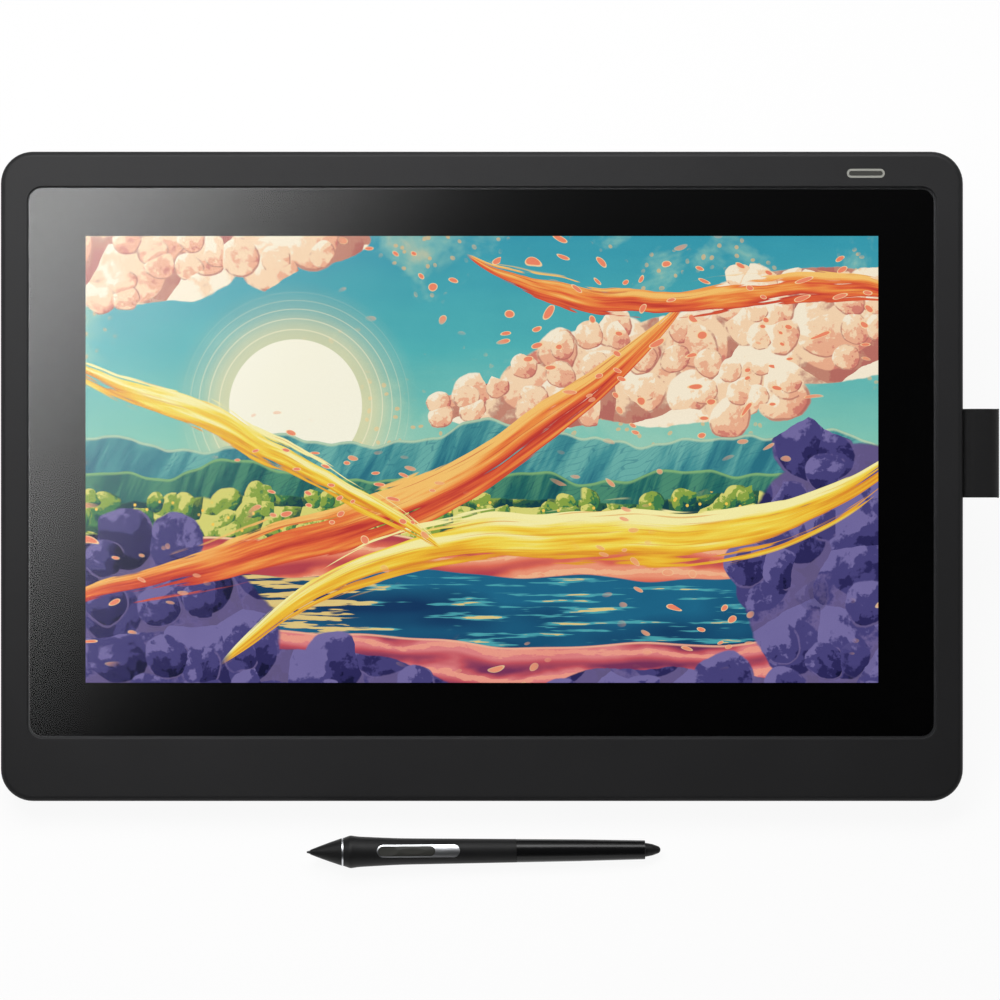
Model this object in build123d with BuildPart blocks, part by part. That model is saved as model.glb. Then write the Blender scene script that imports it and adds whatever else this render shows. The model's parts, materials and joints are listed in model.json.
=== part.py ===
from build123d import *
import os
from math import atan2, cos, degrees, radians, sin, tan

# A drawing tablet with a screen, standing on its two fold-out legs, with its pen lying in front.
# Lengths are in millimetres and angles in degrees. The origin is the middle of the front foot's
# contact face, X points right, Y points away from the user and Z points up.
# The tablet is drawn in its own leaning frame, called panel below: x to the right, y up the
# screen, and height measured out of the screen from the flat back of the rear cover.

# Tablet body
body_width = 420.0
body_height = 283.5
body_depth = 22.5
corner_radius = 14.0
stand_angle = 19.0
parting_height = 13.0
seat_height = 20.4
overrun = 3.0
fit_gap = 0.1

# Front bezel
bezel_wall = 2.2
bezel_edge_radius = 2.4
window_gap = 0.5
window_edge_radius = 0.4
bezel_boss_radius = 3.0
bezel_boss_foot = 6.0
bezel_boss_share = 0.4
bezel_boss_count = 3

# Cover glass and the printed border film under it, each set in from the edges of the one before
glass_side_margin = 12.2
glass_top_margin = 15.85
glass_bottom_margin = 27.85
glass_radius = 6.0
glass_thickness = 1.5
glass_edge_chamfer = 0.2
film_thickness = 0.2
film_margin = 0.6
screen_side_margin = 24.8
screen_top_margin = 21.0
screen_bottom_margin = 23.8

# Screen stack, from the chassis floor to the film
shield_thickness = 0.4
sensor_thickness = 0.8
backlight_thickness = 2.7
cell_side_border = 2.4
cell_end_border = 3.0
stack_gap = 2.0
stack_step = 1.0
driver_strip_share = 0.84
driver_strip_height = 6.4
driver_strip_thickness = 0.9
driver_strip_gap = 0.6

# Chassis tray
chassis_margin = 1.0
chassis_floor = 1.6
chassis_base = 13.5
chassis_wall = 2.0
pocket_side_margin = 17.8
pocket_end_margin = 8.9
pocket_radius = 3.0
chassis_rib = 1.4
chassis_rib_pitch = 52.0
chassis_rib_columns = 7
chassis_rib_rows = 4
chassis_boss_radius = 2.6
chassis_boss_drop = 1.0

# Rear cover
cover_wall = 2.0
cover_reveal = 0.3
back_inset = 16.5
hip_radius = 17.0
slope_height = 11.5
lip_thickness = 0.9
lip_height = 1.5
back_edge_radius = 5.0

# Screws through the rear cover
shank_radius = 1.2
head_radius = 2.3
head_height = 1.5
head_recess = 0.6
socket_radius = 1.1
socket_sides = 6
socket_depth = 0.8
thread_gap = 0.05
shank_gap = 0.15
screw_end_gap = 0.3
cover_boss_radius = 3.4
side_screw_inset = 22.0
side_screw_share = 0.6
side_screw_rise = 17.0
top_screw_inset = 20.6
top_screw_share = 0.24
cover_screw_end = 18.4
bezel_screw_end = 12.0

# Front foot strip and the two rear feet
foot_inset = 22.8
foot_side_inset = 60.0
foot_width = 10.0
foot_proud = 2.0
foot_groove = 0.8
foot_facet = 4.0
foot_end_radius = 2.0
rear_foot_length = 44.0
rear_foot_width = 9.0
rear_foot_side_inset = 92.0
rear_foot_inset = 29.0
rear_foot_edge = 0.7

# Legs and their bays
leg_width = 58.0
leg_thickness = 6.4
leg_inset = 90.0
hinge_inset = 53.75
hinge_depth = 3.9
leg_side_gap = 0.4
leg_face_gap = 0.4
leg_stop_gap = 0.15
leg_end_gap = 0.8
leg_end_radius = 6.0
leg_edge_radius = 0.8
leg_wall = 2.0
leg_cell_depth = 4.2
leg_cell_columns = 3
leg_cell_rows = 3
bay_wall = 1.8
pin_radius = 1.25
pin_gap = 0.05
pin_reach = 5.2
clip_thickness = 0.8
clip_gap = 0.02
pad_width = 44.0
pad_thickness = 3.8
pad_proud = 1.2
pad_depth = 3.0
notch_width = 18.0
notch_length = 6.0
notch_depth = 3.4

# Spare nibs and the ring that pulls a worn nib, kept under the left leg
spare_nib_radius = 0.8
spare_nib_length = 17.0
nib_pitch = 4.6
nib_count = 3
nib_groove_gap = 0.15
nib_seat_gap = 0.05
store_rise = 22.0
nib_store_side = 9.0
puller_side = 14.0
puller_radius = 5.5
puller_hole_radius = 3.4
puller_slit = 1.6
puller_thickness = 1.6
puller_gap = 0.3
store_floor = 1.2

# Power button, its light ring and switch
button_side_inset = 42.5
button_top_inset = 9.55
ring_length = 16.5
ring_width = 3.9
ring_line = 0.9
ring_gap = 0.05
ring_flange = 1.4
ring_flange_thickness = 1.0
ring_depth = 4.0
button_gap = 0.12
button_proud = 0.1
button_travel = 0.5
button_flange = 0.9
button_flange_thickness = 0.8
button_board_length = 28.0
button_board_width = 9.0
button_board_thickness = 1.0
button_post_radius = 1.5
button_post_pitch = 23.6
switch_length = 6.0
switch_width = 3.6
switch_height = 1.1
plunger_radius = 1.2
plunger_height = 0.3
plunger_gap = 0.1

# Main board, its parts and the cable socket
board_thickness = 1.6
board_base = 10.2
board_width = 92.0
board_length = 58.0
board_side_inset = 80.0
board_top_inset = 46.25
board_boss_radius = 2.6
board_screw_inset = 4.0
board_screw_length = 5.0
chip_height = 1.2
plug_inset = 60.0
plug_width = 13.0
plug_thickness = 5.8
plug_length = 14.0
plug_shell = 0.7
mouth_depth = 7.0
tongue_thickness = 1.2
tongue_inset = 1.5
tongue_back = 1.0
recess_width = 24.0
recess_inset = 14.2
recess_ceiling = 10.6
recess_wall = 1.6

# Ribbon cables
ribbon_thickness = 0.25
ribbon_gap = 0.15
ribbon_slot = 1.2
panel_ribbon_width = 30.0
panel_ribbon_offset = 18.0
panel_ribbon_tail = 14.0
sensor_ribbon_width = 14.0
sensor_ribbon_offset = 20.0
sensor_ribbon_tail = 12.0
ribbon_plug_length = 5.0

# Vents in the upper slope
vent_length = 8.0
vent_width = 2.0
vent_pitch = 5.6
vent_count = 24
vent_inset = 9.5

# Pen loop on the right side
loop_length = 38.6
loop_reach = 16.1
loop_depth = 12.4
loop_rise = 10.1
loop_height = 16.0
loop_root_depth = 5.6
loop_bend = 6.0
loop_fabric = 1.1
slot_length = 22.0
slot_width = 2.6
loop_tongue_gap = 0.15
loop_tongue_reach = 7.0
loop_bar_length = 33.0
loop_bar_thickness = 1.0

# Where the pen lies, and how it is turned
pen_tip_side = -76.5
pen_tip_front = -47.1
pen_yaw = 0.8
pen_roll = 14.5

# Pen outline: distance from the tip of the nib, and radius there
pen_length = 154.6
nose_at = 1.6
nose_radius = 1.02
ring_at = 15.3
cone_end_radius = 6.0
cone_front_at = 5.0
cone_front_radius = 2.36
cone_belly_at = 10.0
cone_belly_radius = 4.2
flare_at = 19.4
flare_radius = 7.12
flare_round = 3.0
flare_front_angle = 20.0
flare_back_angle = 9.0
shoulder_at = 22.5
shoulder_round = 30.0
waist_at = 40.0
waist_radius = 5.78
waist_round = 300.0
joint_share = 0.592
joint_radius = 5.13
barrel_belly_radius = 4.76
tail_radius = 4.15

# Pen nib, cone, ring and coil
nib_radius = 0.8
nib_tip_radius = 0.45
nib_length = 17.0
nib_gap = 0.12
cone_bore = 3.0
cone_cavity_at = 9.0
ring_thick = 0.65
ring_proud = 0.12
spigot_length = 5.5
spigot_gap = 0.05
coil_at = 10.0
coil_length = 12.0
coil_radius = 2.8
coil_bore = 1.1

# Pen barrels, eraser and inner carrier
grip_bore = 3.6
spigot_bore = 2.85
barrel_bore = 3.4
barrel_gap = 0.12
barrel_step = 0.06
eraser_radius = 3.0
eraser_showing = 6.8
eraser_straight = 6.2
eraser_taper = 3.6
eraser_taper_radius = 2.5
eraser_tip_round = 1.7
eraser_tip_angle = 22.0
eraser_length = 12.6
eraser_flange = 0.3
eraser_flange_length = 1.4
eraser_gap = 0.06
eraser_travel = 0.6
core_radius = 2.7
core_at = 24.0
core_gap = 0.2
collar_at = 26.0
collar_width = 3.0
collar_gap = 0.05

# Pen side switch and the bright trim round it
trim_at = 30.6
trim_length = 36.2
trim_width = 5.5
trim_proud = 0.15
trim_line = 0.55
trim_gap = 0.05
trim_floor = 3.95
rocker_length = 24.6
rocker_gap = 0.15
rocker_proud = 0.4
rocker_lift = 0.5
rocker_ridge_share = 0.36
rocker_ridge_width = 0.8
rocker_dip = 0.22
pivot_height = 4.6
pivot_radius = 0.35
pivot_gap = 0.05

# Sizes and places that follow
half_width = body_width / 2
half_height = body_height / 2
glass_width = body_width - 2 * glass_side_margin
glass_height = body_height - glass_top_margin - glass_bottom_margin
glass_rise = (glass_bottom_margin - glass_top_margin) / 2
screen_width = glass_width - 2 * screen_side_margin
screen_height = glass_height - screen_top_margin - screen_bottom_margin
screen_rise = glass_rise + (screen_bottom_margin - screen_top_margin) / 2
foot_length = body_width - 2 * foot_side_inset
leg_pitch = body_width - 2 * leg_inset
hinge_rise = half_height - hinge_inset
button_x = half_width - button_side_inset
button_y = half_height - button_top_inset
board_x = half_width - board_side_inset
board_y = half_height - board_top_inset
plug_x = half_width - plug_inset
lean = radians(stand_angle)
right_angle = 90.0
foot_centre = foot_inset - half_height
foot_back = foot_centre + foot_width / 2
foot_front = foot_centre - foot_width / 2
foot_crease = foot_front + foot_facet
rest_y = foot_crease - foot_facet / 2
rest_height = foot_facet / 2 * tan(lean) - foot_proud


def leaning_plane():
    """The tablet's own frame, leaning back, with the middle of the front foot's facet at the origin."""
    forward = rest_y * cos(lean) - rest_height * sin(lean)
    rise = rest_y * sin(lean) + rest_height * cos(lean)
    return Plane(origin=(0, -forward, -rise), x_dir=(1, 0, 0), z_dir=(0, -sin(lean), cos(lean)))


panel = leaning_plane()
outward = Axis(panel.origin, panel.z_dir)


def spot(x, y, height=0):
    """A point of the tablet, given in its own frame."""
    return panel.from_local_coords(Vector(x, y, height))


def level(height, x=0, y=0):
    """A plane parallel to the back at a height, centred on x and y."""
    return Plane(origin=spot(x, y, height), x_dir=panel.x_dir, z_dir=panel.z_dir)


def section(x=0):
    """A plane across the tablet, where a sketch's x is the tablet's y and its y is the height."""
    return Plane(origin=spot(x, 0), x_dir=panel.y_dir, z_dir=panel.x_dir)


def desk(y):
    """Height of the desk top in the tablet's frame, behind a place on its back."""
    return rest_height - (y - rest_y) * tan(lean)


# Screw places, each a list of (x, y)
side_screw_x = half_width - side_screw_inset
side_screw_rows = [side_screw_rise + end * side_screw_share * half_height for end in (-1, 1)]
cover_screws_at = [(side * side_screw_x, y) for side in (-1, 1) for y in side_screw_rows]
cover_screws_at += [(side * top_screw_share * half_width, half_height - top_screw_inset) for side in (-1, 1)]
bezel_boss_pitch = bezel_boss_share * foot_length
first_bezel_boss = -bezel_boss_pitch * (bezel_boss_count - 1) / 2
bezel_screws_at = [(first_bezel_boss + bezel_boss_pitch * n, foot_centre) for n in range(bezel_boss_count)]
board_hole_x = board_width / 2 - board_screw_inset
board_hole_y = board_length / 2 - board_screw_inset
board_screws_at = [
    (board_x + across * board_hole_x, board_y + along * board_hole_y)
    for across in (-1, 1)
    for along in (-1, 1)
]
button_posts_at = [(button_x + side * button_post_pitch / 2, button_y) for side in (-1, 1)]

# Power button heights, from the ring down to the switch on its board
ring_base = body_depth - ring_depth
cap_flange_top = ring_base - button_gap
cap_base = cap_flange_top - button_flange_thickness
plunger_top = cap_base - button_travel - plunger_gap
button_board_top = plunger_top - plunger_height - switch_height

# Front bezel: a shallow frame with a window for the glass, and bosses behind its lower edge
with BuildPart() as front_bezel:
    with BuildSketch(level(parting_height)):
        RectangleRounded(body_width, body_height, corner_radius)
    extrude(amount=body_depth - parting_height)
    fillet(front_bezel.edges().group_by(outward)[-1], bezel_edge_radius)
    with BuildSketch(level(parting_height)):
        inner_radius = corner_radius - bezel_wall
        RectangleRounded(body_width - 2 * bezel_wall, body_height - 2 * bezel_wall, inner_radius)
    extrude(amount=seat_height - parting_height, mode=Mode.SUBTRACT)
    with BuildSketch(level(seat_height, 0, glass_rise)):
        window_radius = glass_radius + window_gap
        RectangleRounded(glass_width + 2 * window_gap, glass_height + 2 * window_gap, window_radius)
    extrude(amount=body_depth - seat_height, mode=Mode.SUBTRACT)
    front_face = front_bezel.faces().filter_by(panel).sort_by(outward)[-1]
    fillet(front_face.inner_wires()[0].edges(), window_edge_radius)
    with BuildSketch(level(seat_height)):
        with Locations(*bezel_screws_at):
            Circle(bezel_boss_radius)
    extrude(amount=bezel_boss_foot - seat_height)
    with BuildSketch(level(bezel_boss_foot)):
        with Locations(*bezel_screws_at):
            Circle(shank_radius + thread_gap)
    extrude(amount=bezel_screw_end + screw_end_gap - bezel_boss_foot, mode=Mode.SUBTRACT)
    with BuildSketch(level(seat_height)):
        with Locations(*button_posts_at):
            Circle(button_post_radius)
    extrude(amount=button_board_top - seat_height)
    with BuildSketch(level(seat_height, button_x, button_y)):
        SlotOverall(ring_length + 2 * ring_gap, ring_width + 2 * ring_gap)
    extrude(amount=body_depth - seat_height, mode=Mode.SUBTRACT)
    with BuildSketch(section(half_width - bezel_wall - overrun)):
        with Locations((loop_rise, loop_height)):
            Rectangle(slot_length, slot_width)
    extrude(amount=bezel_wall + 2 * overrun, mode=Mode.SUBTRACT)

# Cover glass, with a fine bevel round its front edge
with BuildPart() as cover_glass:
    with BuildSketch(level(seat_height + film_thickness, 0, glass_rise)):
        RectangleRounded(glass_width, glass_height, glass_radius)
    extrude(amount=glass_thickness)
    chamfer(cover_glass.edges().group_by(outward)[-1], glass_edge_chamfer)

# Black border film, printed and bonded to the back of the glass
with BuildPart() as border_film:
    with BuildSketch(level(seat_height, 0, glass_rise)):
        film_radius = glass_radius - film_margin
        RectangleRounded(glass_width - 2 * film_margin, glass_height - 2 * film_margin, film_radius)
        with Locations((0, screen_rise - glass_rise)):
            Rectangle(screen_width, screen_height, mode=Mode.SUBTRACT)
    extrude(amount=film_thickness)

# Screen stack in the chassis: steel shield, pen sensor, backlight and liquid crystal cell
chassis_width = glass_width + 2 * chassis_margin
chassis_length = glass_height + 2 * chassis_margin
pocket_width = chassis_width - 2 * pocket_side_margin
pocket_length = chassis_length - 2 * pocket_end_margin
pocket_bottom = glass_rise - pocket_length / 2
pocket_top = glass_rise + pocket_length / 2
shield_base = chassis_base + chassis_floor
sensor_base = shield_base + shield_thickness
backlight_base = sensor_base + sensor_thickness
cell_base = backlight_base + backlight_thickness
cell_bottom = screen_rise - screen_height / 2 - cell_end_border
strip_width = driver_strip_share * screen_width
strip_y = cell_bottom - driver_strip_gap - driver_strip_height / 2
panel_ribbon_x = board_x - panel_ribbon_offset
sensor_ribbon_x = board_x + sensor_ribbon_offset

with BuildPart() as shield_sheet:
    with BuildSketch(level(shield_base, 0, glass_rise)):
        RectangleRounded(pocket_width - 2 * stack_gap, pocket_length - 2 * stack_gap, pocket_radius)
    extrude(amount=shield_thickness)

with BuildPart() as sensor_board:
    with BuildSketch(level(sensor_base, 0, glass_rise)):
        RectangleRounded(pocket_width - 2 * stack_gap, pocket_length - 2 * stack_gap, pocket_radius)
    extrude(amount=sensor_thickness)

with BuildPart() as backlight_unit:
    backlight_gap = stack_gap + stack_step
    with BuildSketch(level(backlight_base, 0, glass_rise)):
        Rectangle(pocket_width - 2 * backlight_gap, pocket_length - 2 * backlight_gap)
    extrude(amount=backlight_thickness)

with BuildPart() as lcd_cell:
    with BuildSketch(level(cell_base, 0, screen_rise)):
        Rectangle(screen_width + 2 * cell_side_border, screen_height + 2 * cell_end_border)
    extrude(amount=seat_height - cell_base)

with BuildPart() as driver_strip:
    with BuildSketch(level(cell_base, 0, strip_y)):
        Rectangle(strip_width, driver_strip_height)
    extrude(amount=driver_strip_thickness)

# Ribbon slots through the chassis floor, one at each end of its pocket
panel_slot_y = pocket_bottom + stack_gap - ribbon_slot / 2
sensor_slot_y = pocket_top - stack_gap + ribbon_slot / 2

# Chassis tray: a floor, a double wall with ribs between, and bosses for the cover screws
with BuildPart() as chassis:
    with BuildSketch(level(chassis_base, 0, glass_rise)):
        RectangleRounded(chassis_width, chassis_length, glass_radius + chassis_margin)
    extrude(amount=seat_height - chassis_base)
    with BuildSketch(level(shield_base, 0, glass_rise)):
        RectangleRounded(chassis_width - 2 * chassis_wall, chassis_length - 2 * chassis_wall, glass_radius)
        RectangleRounded(
            pocket_width + 2 * chassis_wall,
            pocket_length + 2 * chassis_wall,
            pocket_radius + chassis_wall,
            mode=Mode.SUBTRACT,
        )
        with GridLocations(chassis_rib_pitch, chassis_length, chassis_rib_columns, 2):
            Rectangle(chassis_rib, chassis_length / 2, mode=Mode.SUBTRACT)
        with GridLocations(chassis_width, chassis_rib_pitch, 2, chassis_rib_rows):
            Rectangle(chassis_width / 2, chassis_rib, mode=Mode.SUBTRACT)
    extrude(amount=seat_height - shield_base, mode=Mode.SUBTRACT)
    with BuildSketch(level(shield_base, 0, glass_rise)):
        RectangleRounded(pocket_width, pocket_length, pocket_radius)
    extrude(amount=seat_height - shield_base, mode=Mode.SUBTRACT)
    with BuildSketch(level(shield_base)):
        with Locations(*cover_screws_at):
            Circle(chassis_boss_radius)
    extrude(amount=seat_height - chassis_boss_drop - shield_base)
    with BuildSketch(level(chassis_base)):
        with Locations(*cover_screws_at):
            Circle(shank_radius + thread_gap)
    extrude(amount=cover_screw_end + screw_end_gap - chassis_base, mode=Mode.SUBTRACT)
    with BuildSketch(level(chassis_base)):
        with Locations((panel_ribbon_x, panel_slot_y)):
            Rectangle(panel_ribbon_width + ribbon_slot, ribbon_slot)
        with Locations((sensor_ribbon_x, sensor_slot_y)):
            Rectangle(sensor_ribbon_width + ribbon_slot, ribbon_slot)
    extrude(amount=chassis_floor, mode=Mode.SUBTRACT)

# The rear cover has a flat back, a slope all round and a short upright rim
slope_run = back_inset - cover_reveal
slope_ratio = slope_run / slope_height
lip_top = parting_height + lip_height


def sloped_outline(half_base, base, top):
    """Outline of a block that widens from its base to its top by the cover's slope, on both sides."""
    half_top = half_base + (top - base) * slope_ratio
    Polyline((-half_base, base), (half_base, base), (half_top, top), (-half_top, top), close=True)


def sloped_block(inset, base, top, radius):
    """A block with four sloping sides, set in from the body's edges at its base, with rounded hips."""
    with BuildPart() as block:
        with BuildSketch(section()):
            with BuildLine():
                sloped_outline(half_height - inset, base, top)
            make_face()
        extrude(amount=body_width, both=True)
        with BuildSketch(Plane(origin=spot(0, 0), x_dir=panel.x_dir, z_dir=-panel.y_dir)):
            with BuildLine():
                sloped_outline(half_width - inset, base, top)
            make_face()
        extrude(amount=body_height, both=True, mode=Mode.INTERSECT)
        fillet(block.edges().group_by(outward)[1], radius)
    return block


# Outer form of the rear cover, trimmed to its rim
outer_block = sloped_block(back_inset, 0, parting_height, hip_radius)

with BuildPart() as cover_form:
    add(outer_block.part)
    with BuildSketch(level(0)):
        rim_radius = corner_radius - cover_reveal
        RectangleRounded(body_width - 2 * cover_reveal, body_height - 2 * cover_reveal, rim_radius)
    extrude(amount=parting_height, mode=Mode.INTERSECT)

# The hollow inside the cover, one wall in from its slope and back
hollow_inset = back_inset - cover_wall * slope_ratio + cover_wall / sin(atan2(slope_height, slope_run))
lip_outset = bezel_wall + fit_gap
hollow_rim_inset = lip_outset + lip_thickness
inner_block = sloped_block(hollow_inset, cover_wall, lip_top, hip_radius - cover_wall)

with BuildPart() as cover_hollow:
    add(inner_block.part)
    with BuildSketch(level(cover_wall)):
        hollow_radius = corner_radius - hollow_rim_inset
        hollow_width = body_width - 2 * hollow_rim_inset
        hollow_length = body_height - 2 * hollow_rim_inset
        RectangleRounded(hollow_width, hollow_length, hollow_radius)
    extrude(amount=lip_top - cover_wall, mode=Mode.INTERSECT)

# Walls round the cable recess, trimmed to the outer form
recess_floor_y = half_height - recess_inset

with BuildPart() as recess_block:
    with BuildSketch(level(0, plug_x, recess_floor_y - recess_wall + half_height / 2)):
        Rectangle(recess_width + 2 * recess_wall, half_height)
    extrude(amount=recess_ceiling + recess_wall)
    add(cover_form.part, mode=Mode.INTERSECT)

# The bays that the legs fold into, and the spare nib store in the left one
leg_back_y = hinge_rise + leg_thickness / 2
leg_reach = hinge_depth - desk(leg_back_y)
bay_top = leg_back_y + leg_stop_gap
bay_bottom = hinge_rise - leg_reach - leg_end_gap
bay_width = leg_width + 2 * leg_side_gap
bay_length = bay_top - bay_bottom
bay_depth = hinge_depth + leg_thickness / 2 + leg_face_gap
bays_at = [(side * leg_pitch / 2, (bay_top + bay_bottom) / 2) for side in (-1, 1)]
notches_at = [(side * leg_pitch / 2, bay_bottom) for side in (-1, 1)]
store_y = bay_bottom + store_rise
nib_store_x = -leg_pitch / 2 - nib_store_side
puller_x = -leg_pitch / 2 + puller_side
groove_size = 2 * (spare_nib_radius + nib_groove_gap)
puller_pocket = puller_thickness + puller_gap
nibs_at = [nib_store_x + nib_pitch * (n - (nib_count - 1) / 2) for n in range(nib_count)]
store_depth = bay_depth + max(groove_size, puller_pocket) + store_floor
store_width = puller_side + nib_store_side + 2 * puller_radius + nib_pitch * nib_count
store_length = spare_nib_length + 2 * bay_wall

# Heights of the cable socket, which hangs under the main board
board_top = board_base + board_thickness
plug_base = board_base - plug_thickness
block_root = cover_wall / 2

# Rear cover: the shell, its bays, bosses, vents, cable recess and screw holes
with BuildPart() as rear_cover:
    add(cover_form.part)
    fillet(rear_cover.edges().group_by(outward)[0], back_edge_radius)
    with BuildSketch(level(parting_height)):
        lip_radius = corner_radius - lip_outset
        RectangleRounded(body_width - 2 * lip_outset, body_height - 2 * lip_outset, lip_radius)
    extrude(amount=lip_height)
    add(cover_hollow.part, mode=Mode.SUBTRACT)
    with BuildSketch(level(block_root)):
        with Locations(*bays_at):
            Rectangle(bay_width + 2 * bay_wall, bay_length + 2 * bay_wall)
    extrude(amount=bay_depth + bay_wall - block_root)
    with BuildSketch(level(block_root, (nib_store_x + puller_x) / 2, store_y)):
        Rectangle(store_width, store_length)
    extrude(amount=store_depth - block_root)
    add(recess_block.part)
    with BuildSketch(level(block_root)):
        with Locations(*cover_screws_at):
            Circle(cover_boss_radius)
    extrude(amount=chassis_base - block_root)
    with BuildSketch(level(block_root)):
        with Locations(*bezel_screws_at):
            Circle(cover_boss_radius)
    extrude(amount=bezel_boss_foot - block_root)
    with BuildSketch(level(block_root)):
        with Locations(*board_screws_at):
            Circle(board_boss_radius)
    extrude(amount=board_base - block_root)
    with BuildSketch(level(board_base)):
        with Locations(*board_screws_at):
            Circle(shank_radius + thread_gap)
    extrude(amount=-board_screw_length, mode=Mode.SUBTRACT)
    with BuildSketch(level(0)):
        with Locations(*bays_at):
            Rectangle(bay_width, bay_length)
    extrude(amount=bay_depth, mode=Mode.SUBTRACT)
    with BuildSketch(level(0)):
        with Locations(*notches_at):
            SlotOverall(notch_width, 2 * notch_length)
    extrude(amount=notch_depth, mode=Mode.SUBTRACT)
    with BuildSketch(section()):
        with Locations((hinge_rise, hinge_depth)):
            Circle(pin_radius + pin_gap)
    extrude(amount=(leg_pitch + bay_width) / 2 + pin_reach, both=True, mode=Mode.SUBTRACT)
    with BuildSketch(level(bay_depth)):
        with Locations(*[(x, store_y) for x in nibs_at]):
            Rectangle(groove_size, spare_nib_length + 2 * nib_groove_gap)
    extrude(amount=groove_size, mode=Mode.SUBTRACT)
    with BuildSketch(level(bay_depth, puller_x, store_y)):
        Circle(puller_radius + puller_gap)
    extrude(amount=puller_pocket, mode=Mode.SUBTRACT)
    with BuildSketch(level(0, plug_x, recess_floor_y + half_height / 2)):
        Rectangle(recess_width, half_height)
    extrude(amount=recess_ceiling, mode=Mode.SUBTRACT)
    with BuildSketch(level(plug_base, plug_x, recess_floor_y - recess_wall / 2)):
        Rectangle(plug_width + 2 * fit_gap, recess_wall + overrun)
    extrude(amount=plug_thickness, mode=Mode.SUBTRACT)
    with BuildSketch(level(0, 0, half_height - vent_inset)):
        with GridLocations(vent_pitch, 0, vent_count, 1):
            Rectangle(vent_width, vent_length)
    extrude(amount=parting_height, mode=Mode.SUBTRACT)
    with BuildSketch(level(0)):
        with Locations(*cover_screws_at, *bezel_screws_at):
            Circle(shank_radius + shank_gap)
    extrude(amount=chassis_base, mode=Mode.SUBTRACT)
    with BuildSketch(level(0)):
        with Locations(*cover_screws_at):
            Circle(head_radius + shank_gap)
    extrude(amount=head_recess + head_height, mode=Mode.SUBTRACT)
    with BuildSketch(level(0)):
        with Locations(*bezel_screws_at):
            Circle(head_radius + shank_gap)
    extrude(amount=foot_groove + screw_end_gap + head_height, mode=Mode.SUBTRACT)
    with BuildSketch(level(0, 0, foot_centre)):
        RectangleRounded(foot_length + 2 * fit_gap, foot_width + 2 * fit_gap, foot_end_radius)
    extrude(amount=foot_groove, mode=Mode.SUBTRACT)
    with BuildSketch(level(0, 0, half_height - rear_foot_inset)):
        with GridLocations(body_width - 2 * rear_foot_side_inset, 0, 2, 1):
            SlotOverall(rear_foot_length + 2 * fit_gap, rear_foot_width + 2 * fit_gap)
    extrude(amount=foot_groove, mode=Mode.SUBTRACT)

# Front foot: a rubber strip with a flat for lying down and a facet for standing on the desk
with BuildPart() as front_foot:
    with BuildSketch(section()):
        with BuildLine():
            Polyline(
                (foot_back, foot_groove),
                (foot_back, -foot_proud),
                (foot_crease, -foot_proud),
                (foot_front, desk(foot_front)),
                (foot_front, foot_groove),
                close=True,
            )
        make_face()
    extrude(amount=foot_length / 2, both=True)
    fillet(front_foot.edges().filter_by(outward), foot_end_radius)

# Rear feet: two rubber pads, used when the tablet lies flat
with BuildPart() as rear_feet:
    with BuildSketch(level(foot_groove, 0, half_height - rear_foot_inset)):
        with GridLocations(body_width - 2 * rear_foot_side_inset, 0, 2, 1):
            SlotOverall(rear_foot_length, rear_foot_width)
    extrude(amount=-(foot_groove + foot_proud))
    chamfer(rear_feet.edges().group_by(outward)[0], rear_foot_edge)


def screws(places, seat, end):
    """Screws with their heads towards the back, under a seat at one height and ending at another."""
    with BuildPart() as group:
        with BuildSketch(level(seat)):
            with Locations(*places):
                Circle(shank_radius)
        extrude(amount=end - seat)
        with BuildSketch(level(seat)):
            with Locations(*places):
                Circle(head_radius)
        extrude(amount=-head_height)
        with BuildSketch(level(seat - head_height)):
            with Locations(*places):
                RegularPolygon(socket_radius, socket_sides)
        extrude(amount=socket_depth, mode=Mode.SUBTRACT)
    return group


cover_screws = screws(cover_screws_at, head_recess + head_height, cover_screw_end)
bezel_screws = screws(bezel_screws_at, foot_groove + screw_end_gap + head_height, bezel_screw_end)


def leg_pad(x, growth=0):
    """The rubber pad let into a leg's end, cut level with the desk. Growth widens it to its groove."""
    front = hinge_rise - pad_thickness / 2 - growth
    back = hinge_rise + pad_thickness / 2 + growth
    rise = pad_depth + pad_proud
    with BuildPart() as pad:
        with BuildSketch(section(x)):
            with BuildLine():
                Polyline(
                    (front, desk(front)),
                    (back, desk(back)),
                    (back, desk(back) + rise),
                    (front, desk(front) + rise),
                    close=True,
                )
            make_face()
        extrude(amount=pad_width / 2 + growth, both=True)
    return pad


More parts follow.
